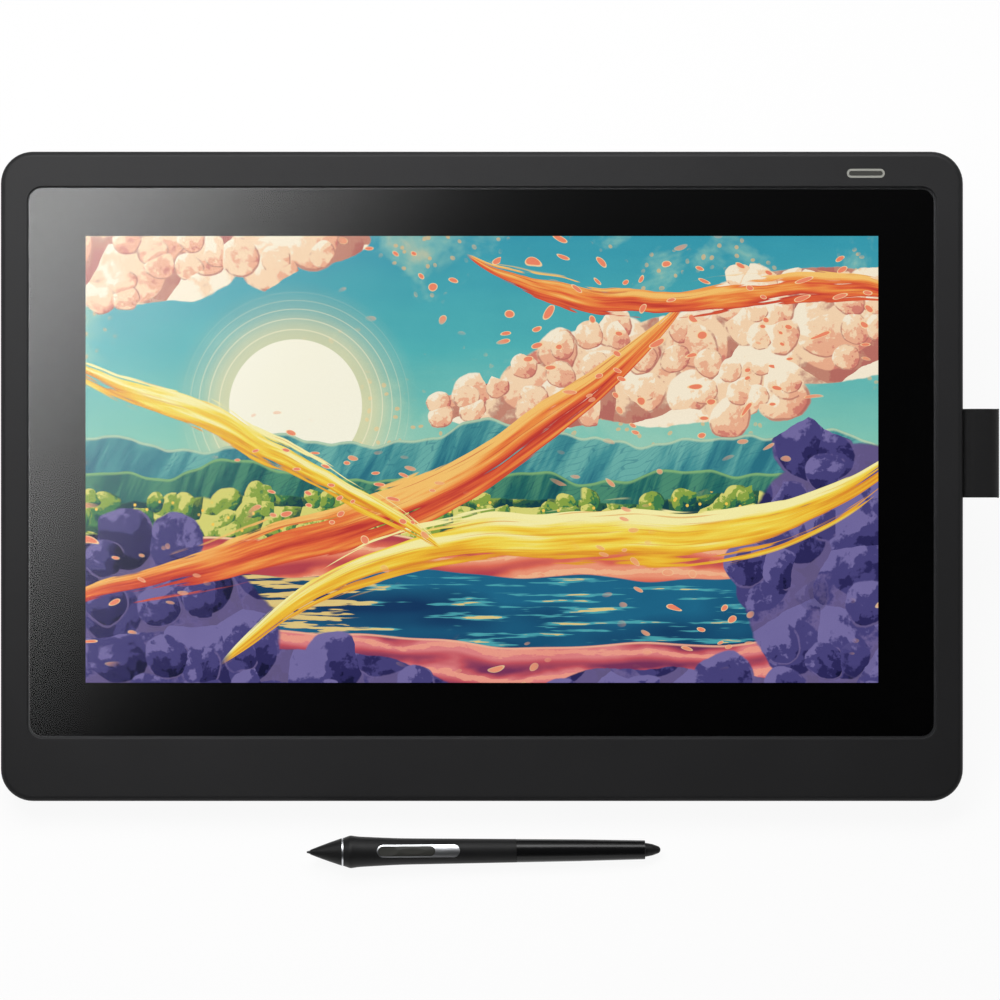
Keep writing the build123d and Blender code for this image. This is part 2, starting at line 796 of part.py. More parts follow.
def leg(x):
    """A fold-out leg, drawn open: a moulded slab with cells in its inner face and a rounded heel."""
    front = hinge_rise - leg_thickness / 2
    back = hinge_rise + leg_thickness / 2
    lift = pad_proud / cos(lean)
    cells_top = hinge_depth - leg_thickness
    cells_bottom = desk(front) + lift + leg_wall + pad_depth
    across = (leg_width - leg_wall) / leg_cell_columns
    down = (cells_top - cells_bottom) / leg_cell_rows
    cells_centre = spot(x, front, (cells_top + cells_bottom) / 2)
    groove = leg_pad(x, pin_gap)
    with BuildPart() as body:
        with BuildSketch(section(x)):
            with BuildLine():
                Polyline(
                    (front, hinge_depth),
                    (front, desk(front) + lift),
                    (back, desk(back) + lift),
                    (back, hinge_depth),
                )
                ThreePointArc(
                    (back, hinge_depth), (hinge_rise, hinge_depth + leg_thickness / 2), (front, hinge_depth)
                )
            make_face()
        extrude(amount=leg_width / 2, both=True)
        end_corners = body.edges().filter_by(Axis.Y).group_by(Axis.Z)[0]
        fillet(end_corners, leg_end_radius)
        outer_rim = body.faces().sort_by(Axis.Y)[-1].edges().sort_by(outward)[:-1]
        fillet(outer_rim, leg_edge_radius)
        with BuildSketch(Plane(origin=cells_centre, x_dir=panel.x_dir, z_dir=panel.y_dir)):
            with GridLocations(across, down, leg_cell_columns, leg_cell_rows):
                Rectangle(across - leg_wall, down - leg_wall)
        extrude(amount=leg_cell_depth, mode=Mode.SUBTRACT)
        with BuildSketch(section(x)):
            with Locations((hinge_rise, hinge_depth)):
                Circle(pin_radius + pin_gap)
        extrude(amount=leg_width, both=True, mode=Mode.SUBTRACT)
        add(groove.part, mode=Mode.SUBTRACT)
    return body


def hinge_pin(x):
    """The steel rod that a leg turns on, held in the side walls of its bay."""
    with BuildPart() as pin:
        with BuildSketch(section(x)):
            with Locations((hinge_rise, hinge_depth)):
                Circle(pin_radius)
        extrude(amount=bay_width / 2 + pin_reach, both=True)
    return pin


left_leg = leg(-leg_pitch / 2)
right_leg = leg(leg_pitch / 2)
left_leg_pad = leg_pad(-leg_pitch / 2)
right_leg_pad = leg_pad(leg_pitch / 2)
left_hinge_pin = hinge_pin(-leg_pitch / 2)
right_hinge_pin = hinge_pin(leg_pitch / 2)

# Retaining rings on both ends of both hinge pins, inside the cover
clip_radius = hinge_depth - cover_wall - fit_gap

with BuildPart() as hinge_clips:
    for leg_x in (-leg_pitch / 2, leg_pitch / 2):
        for end in (-1, 1):
            with BuildSketch(section(leg_x + end * (bay_width / 2 + bay_wall))):
                with Locations((hinge_rise, hinge_depth)):
                    Circle(clip_radius)
                    Circle(pin_radius + clip_gap, mode=Mode.SUBTRACT)
            extrude(amount=end * clip_thickness)

# Spare nibs in their grooves, and the ring that pulls a worn nib
nib_height = bay_depth + groove_size - spare_nib_radius - nib_seat_gap

with BuildPart() as spare_nibs:
    for nib_x in nibs_at:
        nib_root = spot(nib_x, store_y - spare_nib_length / 2, nib_height)
        with BuildSketch(Plane(origin=nib_root, x_dir=panel.x_dir, z_dir=panel.y_dir)):
            Circle(spare_nib_radius)
        extrude(amount=spare_nib_length)

with BuildPart() as nib_puller:
    with BuildSketch(level(bay_depth + puller_gap, puller_x, store_y)):
        Circle(puller_radius)
        Circle(puller_hole_radius, mode=Mode.SUBTRACT)
        with Locations((puller_radius, 0)):
            Rectangle(puller_radius, puller_slit, mode=Mode.SUBTRACT)
    extrude(amount=puller_thickness)

# Light ring round the power button, held behind the bezel by its flange
with BuildPart() as light_ring:
    with BuildSketch(level(ring_base, button_x, button_y)):
        SlotOverall(ring_length, ring_width)
    extrude(amount=ring_depth)
    with BuildSketch(level(seat_height, button_x, button_y)):
        SlotOverall(ring_length + 2 * ring_flange, ring_width + 2 * ring_flange)
    extrude(amount=-ring_flange_thickness)
    with BuildSketch(level(ring_base, button_x, button_y)):
        SlotOverall(ring_length - 2 * ring_line, ring_width - 2 * ring_line)
    extrude(amount=ring_depth, mode=Mode.SUBTRACT)

# Power button cap, with a flange below the ring
cap_length = ring_length - 2 * (ring_line + button_gap)
cap_width = ring_width - 2 * (ring_line + button_gap)

with BuildPart() as power_button:
    with BuildSketch(level(cap_base, button_x, button_y)):
        SlotOverall(cap_length, cap_width)
    extrude(amount=body_depth + button_proud - cap_base)
    chamfer(power_button.edges().group_by(outward)[-1], button_proud)
    with BuildSketch(level(cap_base, button_x, button_y)):
        SlotOverall(cap_length + 2 * button_flange, cap_width + 2 * button_flange)
    extrude(amount=button_flange_thickness)

# Button board on two posts of the bezel, with its press switch
with BuildPart() as button_board:
    with BuildSketch(level(button_board_top, button_x, button_y)):
        Rectangle(button_board_length, button_board_width)
    extrude(amount=-button_board_thickness)

with BuildPart() as press_switch:
    with BuildSketch(level(button_board_top, button_x, button_y)):
        Rectangle(switch_length, switch_width)
    extrude(amount=switch_height)
    with BuildSketch(level(button_board_top + switch_height, button_x, button_y)):
        Circle(plunger_radius)
    extrude(amount=plunger_height)

# Main board on four bosses of the rear cover
with BuildPart() as main_board:
    with BuildSketch(level(board_base, board_x, board_y)):
        Rectangle(board_width, board_length)
    extrude(amount=board_thickness)
    with BuildSketch(level(board_base)):
        with Locations(*board_screws_at):
            Circle(shank_radius + shank_gap)
    extrude(amount=board_thickness, mode=Mode.SUBTRACT)

# Chips on the main board, as shares of its size: place from its middle, then width and length
chip_shares = [
    (-0.05, 0.10, 0.18, 0.28),
    (0.17, 0.14, 0.12, 0.17),
    (0.17, -0.10, 0.12, 0.17),
    (-0.27, 0.22, 0.09, 0.14),
    (-0.27, -0.02, 0.09, 0.14),
    (0.34, -0.22, 0.07, 0.11),
]

with BuildPart() as board_chips:
    for side_share, rise_share, width_share, length_share in chip_shares:
        chip_x = board_x + side_share * board_width
        chip_y = board_y + rise_share * board_length
        with BuildSketch(level(board_top, chip_x, chip_y)):
            Rectangle(width_share * board_width, length_share * board_length)
        extrude(amount=chip_height)

with BuildPart() as board_screws:
    with BuildSketch(level(board_top)):
        with Locations(*board_screws_at):
            Circle(head_radius)
    extrude(amount=chip_height)
    with BuildSketch(level(board_top)):
        with Locations(*board_screws_at):
            Circle(shank_radius)
    extrude(amount=-board_screw_length)

# Cable socket: a metal shell with a contact tongue, its mouth flush with the floor of the recess
plug_centre = spot(plug_x, recess_floor_y, plug_base + plug_thickness / 2)
mouth = Plane(origin=plug_centre, x_dir=panel.x_dir, z_dir=panel.y_dir)

with BuildPart() as cable_socket:
    with BuildSketch(mouth):
        Rectangle(plug_width, plug_thickness)
    extrude(amount=-plug_length)
    with BuildSketch(mouth):
        Rectangle(plug_width - 2 * plug_shell, plug_thickness - 2 * plug_shell)
    extrude(amount=-mouth_depth, mode=Mode.SUBTRACT)
    with BuildSketch(mouth.offset(-mouth_depth)):
        Rectangle(plug_width - 2 * (plug_shell + tongue_inset), tongue_thickness)
    extrude(amount=mouth_depth - tongue_back)

# Ribbon from the screen's driver strip, through the floor slot, to the main board
ribbon_base = chassis_base - ribbon_gap - ribbon_thickness
ribbon_half = ribbon_thickness / 2
panel_ribbon_end = board_y - board_length / 2 + panel_ribbon_tail
strip_top = cell_base + driver_strip_thickness

with BuildPart() as panel_ribbon:
    with BuildSketch(section(panel_ribbon_x)):
        with BuildLine():
            Polyline(
                (strip_y, strip_top),
                (strip_y, strip_top + ribbon_thickness),
                (panel_slot_y - ribbon_half, strip_top + ribbon_thickness),
                (panel_slot_y - ribbon_half, ribbon_base),
                (panel_ribbon_end, ribbon_base),
                (panel_ribbon_end, ribbon_base + ribbon_thickness),
                (panel_slot_y + ribbon_half, ribbon_base + ribbon_thickness),
                (panel_slot_y + ribbon_half, strip_top),
                close=True,
            )
        make_face()
    extrude(amount=panel_ribbon_width / 2, both=True)

# Ribbon from the edge of the pen sensor to the main board
sensor_edge_y = pocket_top - stack_gap
sensor_ribbon_end = board_y + board_length / 2 - sensor_ribbon_tail

with BuildPart() as sensor_ribbon:
    with BuildSketch(section(sensor_ribbon_x)):
        with BuildLine():
            Polyline(
                (sensor_edge_y, sensor_base),
                (sensor_edge_y, sensor_base + ribbon_thickness),
                (sensor_slot_y + ribbon_half, sensor_base + ribbon_thickness),
                (sensor_slot_y + ribbon_half, ribbon_base),
                (sensor_ribbon_end, ribbon_base),
                (sensor_ribbon_end, ribbon_base + ribbon_thickness),
                (sensor_slot_y - ribbon_half, ribbon_base + ribbon_thickness),
                (sensor_slot_y - ribbon_half, sensor_base),
                close=True,
            )
        make_face()
    extrude(amount=sensor_ribbon_width / 2, both=True)

with BuildPart() as ribbon_plugs:
    with BuildSketch(level(board_top)):
        with Locations((panel_ribbon_x, panel_ribbon_end - ribbon_plug_length / 2)):
            Rectangle(panel_ribbon_width, ribbon_plug_length)
        with Locations((sensor_ribbon_x, sensor_ribbon_end + ribbon_plug_length / 2)):
            Rectangle(sensor_ribbon_width, ribbon_plug_length)
    extrude(amount=ribbon_base - board_top)

# Pen loop clip: a tongue through the side slot, with a bar that holds the fabric
loop_root_x = half_width + fit_gap
loop_end_x = half_width + loop_reach
bar_x = loop_root_x + loop_fabric
bar_height = loop_root_depth - 2 * loop_fabric

with BuildPart() as loop_clip:
    tongue_middle = (half_width - loop_tongue_reach + bar_x) / 2
    with BuildSketch(level(loop_height - slot_width / 2 + loop_tongue_gap, tongue_middle, loop_rise)):
        Rectangle(bar_x - half_width + loop_tongue_reach, slot_length - 2 * loop_tongue_gap)
    extrude(amount=slot_width - 2 * loop_tongue_gap)
    with BuildSketch(level(loop_height - bar_height / 2, bar_x + loop_bar_thickness / 2, loop_rise)):
        Rectangle(loop_bar_thickness, loop_bar_length)
    extrude(amount=bar_height)


def loop_outline(shrink=0):
    """The closed outline of the loop, seen along the tablet's y, drawn in by a distance."""
    root = loop_root_x + shrink
    end = loop_end_x - shrink
    half_root = loop_root_depth / 2 - shrink
    half_depth = loop_depth / 2 - shrink
    bend = root + half_depth - half_root
    belly = end - half_depth
    radius = loop_bend - shrink
    FilletPolyline((root, half_root), (bend, half_depth), (belly, half_depth), radius=radius)
    ThreePointArc((belly, half_depth), (end, 0), (belly, -half_depth))
    FilletPolyline((belly, -half_depth), (bend, -half_depth), (root, -half_root), radius=radius)
    Line((root, -half_root), (root, half_root))


# Pen loop: a band of woven elastic, flat against the side and round at its outer end
with BuildPart() as pen_loop:
    loop_middle = Plane(origin=spot(0, loop_rise, loop_height), x_dir=panel.x_dir, z_dir=-panel.y_dir)
    with BuildSketch(loop_middle):
        with BuildLine():
            loop_outline()
        make_face()
        with BuildLine():
            loop_outline(loop_fabric)
        make_face(mode=Mode.SUBTRACT)
    extrude(amount=loop_length / 2, both=True)
    with BuildSketch(level(loop_height - slot_width / 2, loop_root_x, loop_rise)):
        Rectangle(2 * loop_fabric + fit_gap, slot_length)
    extrude(amount=slot_width, mode=Mode.SUBTRACT)

# Places along the pen that follow from its length
tail_at = pen_length - eraser_showing
joint_at = joint_share * pen_length
barrel_belly_at = (joint_at + tail_at) / 2
eraser_root_at = pen_length - eraser_length

# The pen's own frame: x from the tip to the tail and z towards the side switch. The pen lies on
# its flare and its tail, so the axis dips towards the tail.
pen_pitch = degrees(atan2(flare_radius - tail_radius, tail_at - flare_at))
pen_tip_height = flare_radius * cos(radians(pen_pitch)) + flare_at * sin(radians(pen_pitch))
pen_place = Location((pen_tip_side, pen_tip_front, pen_tip_height)) * Location((0, 0, 0), (0, 0, pen_yaw))
pen_place *= Location((0, 0, 0), (0, pen_pitch, 0))
pen_place *= Location((0, 0, 0), (pen_roll, 0, 0))
pen = Plane(pen_place)
pen_axis = Axis(pen.origin, pen.x_dir)
grip_at = ring_at + ring_thick


def flare_edge(angle):
    """The point of the flare's round edge where its outline leaves at an angle to the pen's axis."""
    distance = flare_at + flare_round * sin(radians(angle))
    return distance, flare_radius - flare_round + flare_round * cos(radians(angle))


flare_front_at, flare_front_radius = flare_edge(-flare_front_angle)
flare_back_at, flare_back_radius = flare_edge(flare_back_angle)
grip_radius = flare_front_radius - (flare_front_at - grip_at) * tan(radians(flare_front_angle))
shoulder_drop = (shoulder_at - flare_back_at) * tan(radians(flare_back_angle))


def grip_outline(growth=0):
    """The grip's outer line from the ring over the flare to the joint, moved out by a growth."""
    Line((grip_at, grip_radius + growth), (flare_front_at, flare_front_radius + growth))
    ThreePointArc(
        (flare_front_at, flare_front_radius + growth),
        (flare_at, flare_radius + growth),
        (flare_back_at, flare_back_radius + growth),
    )
    FilletPolyline(
        (flare_back_at, flare_back_radius + growth),
        (shoulder_at, flare_back_radius - shoulder_drop + growth),
        (waist_at, waist_radius + growth),
        (joint_at, joint_radius + growth),
        radius=(shoulder_round, waist_round),
    )


def grip_form(growth=0):
    """A solid of revolution inside the grip's outer line, moved out by a growth."""
    with BuildPart() as form:
        with BuildSketch(pen):
            with BuildLine():
                grip_outline(growth)
                Polyline(
                    (joint_at, joint_radius + growth),
                    (joint_at, 0),
                    (grip_at, 0),
                    (grip_at, grip_radius + growth),
                )
            make_face()
        revolve(axis=pen_axis)
    return form


def across(distance):
    """A plane square to the pen's axis, at a distance from the tip, facing the tail."""
    return Plane(origin=pen.from_local_coords(Vector(distance, 0, 0)), x_dir=pen.y_dir, z_dir=pen.x_dir)


grip_body = grip_form()
trim_body = grip_form(trim_proud)
rocker_body = grip_form(rocker_proud)

# Pen grip: the front barrel with its flare, bored for the carrier, with a spigot at its rear end
spigot_at = joint_at - spigot_length
trim_middle = trim_at + trim_length / 2

with BuildPart() as pen_grip:
    add(grip_body.part)
    with BuildSketch(across(joint_at)):
        Circle(barrel_bore - spigot_gap)
    extrude(amount=spigot_length)
    with BuildSketch(across(grip_at)):
        Circle(grip_bore)
    extrude(amount=spigot_at - grip_at, mode=Mode.SUBTRACT)
    with BuildSketch(across(spigot_at)):
        Circle(spigot_bore)
    extrude(amount=2 * spigot_length, mode=Mode.SUBTRACT)
    with BuildSketch(pen.offset(trim_floor - trim_gap)):
        with Locations((trim_middle, 0)):
            SlotOverall(trim_length + 2 * trim_gap, trim_width + 2 * trim_gap)
    extrude(amount=flare_radius, mode=Mode.SUBTRACT)

# Pen rear barrel, narrowing to a lip that keeps the eraser in
lip_at = eraser_root_at + eraser_flange_length + barrel_gap
barrel_at = joint_at + barrel_step

with BuildPart() as pen_barrel:
    with BuildSketch(pen):
        with BuildLine():
            Polyline(
                (barrel_at, joint_radius),
                (barrel_belly_at, barrel_belly_radius),
                (tail_at - barrel_gap, tail_radius),
                (tail_at, tail_radius - barrel_gap),
                (tail_at, eraser_radius + eraser_gap),
                (lip_at, eraser_radius + eraser_gap),
                (lip_at, barrel_bore),
                (barrel_at, barrel_bore),
                close=True,
            )
        make_face()
    revolve(axis=pen_axis)

# Pen cone, screwed into the grip by its spigot and bored for the nib and the coil
with BuildPart() as pen_cone:
    with BuildSketch(pen):
        with BuildLine():
            Polyline(
                (nose_at, nose_radius),
                (cone_front_at, cone_front_radius),
                (cone_belly_at, cone_belly_radius),
                (ring_at, cone_end_radius),
                (ring_at, grip_bore - spigot_gap),
                (grip_at + spigot_length, grip_bore - spigot_gap),
                (grip_at + spigot_length, cone_bore),
                (cone_cavity_at, cone_bore),
                (cone_cavity_at, nib_radius + nib_gap),
                (nose_at, nib_radius + nib_gap),
                close=True,
            )
        make_face()
    revolve(axis=pen_axis)

# Bright ring between the cone and the grip
with BuildPart() as pen_ring:
    with BuildSketch(across(ring_at)):
        Circle(cone_end_radius + ring_proud)
        Circle(grip_bore, mode=Mode.SUBTRACT)
    extrude(amount=ring_thick)

# Nib, with a small round tip and a short taper
nib_arc_side = nib_tip_radius * cos(radians(right_angle / 2))

with BuildPart() as pen_nib:
    with BuildSketch(pen):
        with BuildLine():
            ThreePointArc(
                (0, 0), (nib_tip_radius - nib_arc_side, nib_arc_side), (nib_tip_radius, nib_tip_radius)
            )
            Polyline(
                (nib_tip_radius, nib_tip_radius),
                (nose_at, nib_radius),
                (nib_length, nib_radius),
                (nib_length, 0),
                (0, 0),
            )
        make_face()
    revolve(axis=pen_axis)

# Coil round the nib, inside the cone
with BuildPart() as pen_coil:
    with BuildSketch(across(coil_at)):
        Circle(coil_radius)
        Circle(coil_bore, mode=Mode.SUBTRACT)
    extrude(amount=coil_length)

# Inner carrier with the circuit, centred by a collar behind the cone
with BuildPart() as pen_core:
    with BuildSketch(across(core_at)):
        Circle(core_radius)
    extrude(amount=eraser_root_at - eraser_travel - core_gap - core_at)
    with BuildSketch(across(collar_at)):
        Circle(grip_bore - collar_gap)
    extrude(amount=collar_width)


def eraser_tip(angle):
    """The point of the eraser's round tip where its outline lies at an angle to the pen's axis."""
    distance = pen_length - eraser_tip_round + eraser_tip_round * sin(radians(angle))
    return distance, eraser_tip_round * cos(radians(angle))


# Eraser, with a flange behind the barrel's lip and a rounded end
flange_radius = eraser_radius + eraser_flange
flange_end = eraser_root_at + eraser_flange_length

with BuildPart() as pen_eraser:
    with BuildSketch(pen):
        with BuildLine():
            Polyline(
                (pen_length, 0),
                (eraser_root_at, 0),
                (eraser_root_at, flange_radius),
                (flange_end, flange_radius),
                (flange_end, eraser_radius),
                (pen_length - eraser_straight, eraser_radius),
                (pen_length - eraser_taper, eraser_taper_radius),
                eraser_tip(eraser_tip_angle),
            )
            arc_middle = eraser_tip((right_angle + eraser_tip_angle) / 2)
            ThreePointArc(eraser_tip(eraser_tip_angle), arc_middle, (pen_length, 0))
        make_face()
    revolve(axis=pen_axis)

# Bright trim let into the grip, with an opening for the rocking switch at its front
rocker_width = trim_width - 2 * (trim_line + rocker_gap)
rocker_middle = trim_at + trim_line + rocker_gap + rocker_length / 2
pivot_spot = pen.from_local_coords(Vector(rocker_middle, 0, pivot_height))
pivot_plane = Plane(origin=pivot_spot, x_dir=pen.x_dir, z_dir=pen.y_dir)

with BuildPart() as pen_trim:
    with BuildSketch(pen.offset(trim_floor)):
        with Locations((trim_middle, 0)):
            SlotOverall(trim_length, trim_width)
        with Locations((rocker_middle, 0)):
            SlotOverall(rocker_length + 2 * rocker_gap, rocker_width + 2 * rocker_gap, mode=Mode.SUBTRACT)
    extrude(amount=flare_radius)
    add(trim_body.part, mode=Mode.INTERSECT)
    with BuildSketch(pivot_plane):
        Circle(pivot_radius + pivot_gap)
    extrude(amount=trim_width, both=True, mode=Mode.SUBTRACT)

# Rocking switch: a bar with two shallow dips, a ridge between them and a pivot across
rocker_start = rocker_middle - rocker_length / 2
rocker_end = rocker_middle + rocker_length / 2
ridge_at = rocker_start + rocker_ridge_share * rocker_length
rocker_top = waist_radius + rocker_proud

with BuildPart() as pen_switch:
    with BuildSketch(pen.offset(trim_floor + rocker_lift)):
        with Locations((rocker_middle, 0)):
            SlotOverall(rocker_length, rocker_width)
    extrude(amount=flare_radius)
    add(rocker_body.part, mode=Mode.INTERSECT)
    for dip_start, dip_end in [(rocker_start, ridge_at), (ridge_at, rocker_end)]:
        half_chord = (dip_end - dip_start) / 2 - rocker_ridge_width
        dip_radius = (half_chord**2 + rocker_dip**2) / (2 * rocker_dip)
        dip_spot = Vector((dip_start + dip_end) / 2, 0, rocker_top + dip_radius - rocker_dip)
        dip_plane = Plane(origin=pen.from_local_coords(dip_spot), x_dir=pen.x_dir, z_dir=pen.y_dir)
        with BuildSketch(dip_plane):
            Circle(dip_radius)
        extrude(amount=trim_width, both=True, mode=Mode.SUBTRACT)
    with BuildSketch(pivot_plane):
        Circle(pivot_radius)
    extrude(amount=rocker_width / 2 + rocker_gap + trim_line / 2, both=True)


def save(**pieces):
    """Label each piece with its name and write it to its own file."""
    os.makedirs("parts", exist_ok=True)
    for name, piece in pieces.items():
        piece.part.label = name
        export_step(piece.part, f"parts/{name}.step")


save(
    front_bezel=front_bezel,
    cover_glass=cover_glass,
    border_film=border_film,
    shield_sheet=shield_sheet,
    sensor_board=sensor_board,
    backlight_unit=backlight_unit,
    lcd_cell=lcd_cell,
    driver_strip=driver_strip,
    chassis=chassis,
    rear_cover=rear_cover,
    front_foot=front_foot,
    rear_feet=rear_feet,
    cover_screws=cover_screws,
    bezel_screws=bezel_screws,
    left_leg=left_leg,
    right_leg=right_leg,
    left_leg_pad=left_leg_pad,
    right_leg_pad=right_leg_pad,
    left_hinge_pin=left_hinge_pin,
    right_hinge_pin=right_hinge_pin,
    hinge_clips=hinge_clips,
    spare_nibs=spare_nibs,
    nib_puller=nib_puller,
    light_ring=light_ring,
    power_button=power_button,
    button_board=button_board,
    press_switch=press_switch,
    main_board=main_board,
    board_chips=board_chips,
    board_screws=board_screws,
    cable_socket=cable_socket,
    panel_ribbon=panel_ribbon,
    sensor_ribbon=sensor_ribbon,
    ribbon_plugs=ribbon_plugs,
    loop_clip=loop_clip,
    pen_loop=pen_loop,
    pen_grip=pen_grip,
    pen_barrel=pen_barrel,
    pen_cone=pen_cone,
    pen_ring=pen_ring,
    pen_nib=pen_nib,
    pen_coil=pen_coil,
    pen_core=pen_core,
    pen_eraser=pen_eraser,
    pen_trim=pen_trim,
    pen_switch=pen_switch,
)
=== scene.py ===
import json
from math import ceil, cos, pi, radians, sin

import bpy
from bpy.props import FloatProperty, FloatVectorProperty, IntProperty, PointerProperty
from mathutils import Matrix, Vector


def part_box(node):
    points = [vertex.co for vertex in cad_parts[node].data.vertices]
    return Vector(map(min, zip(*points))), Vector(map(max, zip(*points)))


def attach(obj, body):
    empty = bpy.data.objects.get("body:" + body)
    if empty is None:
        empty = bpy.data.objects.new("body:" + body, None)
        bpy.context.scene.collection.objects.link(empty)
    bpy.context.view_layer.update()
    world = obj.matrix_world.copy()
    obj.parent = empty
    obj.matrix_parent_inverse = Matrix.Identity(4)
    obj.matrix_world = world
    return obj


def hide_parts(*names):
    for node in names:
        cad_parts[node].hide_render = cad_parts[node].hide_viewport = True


bl_info = {
    "name": "Pen display dressing",
    "version": (1, 0, 0),
    "blender": (4, 5, 0),
    "location": "View3D > Sidebar > Pen display",
    "description": "Finishes, fabric and studio for a drawing tablet with a screen and its pen",
    "category": "Object",
}

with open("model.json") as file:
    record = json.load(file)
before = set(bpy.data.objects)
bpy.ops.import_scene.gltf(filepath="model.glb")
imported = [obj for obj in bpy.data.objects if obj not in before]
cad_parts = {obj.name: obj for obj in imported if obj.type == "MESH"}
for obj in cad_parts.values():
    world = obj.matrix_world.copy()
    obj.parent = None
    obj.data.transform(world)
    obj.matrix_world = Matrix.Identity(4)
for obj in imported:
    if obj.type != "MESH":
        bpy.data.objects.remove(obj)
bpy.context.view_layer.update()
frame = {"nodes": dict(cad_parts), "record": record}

# The tablet leans back by this angle.
LEAN = radians(19.0)
MM = 0.001
WHITE = (1.0, 1.0, 1.0, 1.0)
BLACK = (0.0, 0.0, 0.0, 1.0)


def middle(node):
    """The middle of a CAD node's box."""
    low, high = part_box(node)
    return (low + high) / 2


GLASS_MIDDLE = middle("cover_glass")


def leaning(centre):
    """A matrix from the tablet's own axes, with z out of the screen, at a centre to the world."""
    return Matrix.Translation(centre) @ Matrix.Rotation(LEAN, 4, "X")


def shade(red, green, blue):
    """A colour as a display shows it, from 0 to 255, in the linear numbers of sockets."""
    linear = []
    for part in (red, green, blue):
        part /= 255
        linear.append(part / 12.92 if part <= 0.04045 else ((part + 0.055) / 1.055) ** 2.4)
    return (*linear, 1.0)


def shades(*colours):
    return [shade(*colour) for colour in colours]


def dimmed(colour, share):
    """A colour with a share of its light."""
    return (*(part * share for part in colour[:3]), 1.0)


def put(name, data):
    """A new object in the scene."""
    made = bpy.data.objects.new(name, data)
    bpy.context.scene.collection.objects.link(made)
    return made


def maths(operation, reflected=False):
    """A method that adds a Math node to a signal and another value, or to these reflected."""

    def method(self, other):
        values = (other, self) if reflected else (self, other)
        return self.tree.math(operation, *values)

    return method


class Signal:
    """One output of a node. An expression on signals and numbers adds its Math nodes."""

    def __init__(self, tree, socket):
        self.tree = tree
        self.socket = socket

    def out(self, name):
        return Signal(self.tree, self.socket.node.outputs[name])

    __add__, __radd__ = maths("ADD"), maths("ADD", True)
    __sub__, __rsub__ = maths("SUBTRACT"), maths("SUBTRACT", True)
    __mul__, __rmul__ = maths("MULTIPLY"), maths("MULTIPLY", True)
    __truediv__, __rtruediv__ = maths("DIVIDE"), maths("DIVIDE", True)
    __pow__ = maths("POWER")

    def __abs__(self):
        return self.tree.math("ABSOLUTE", self)

    def __neg__(self):
        return self * -1


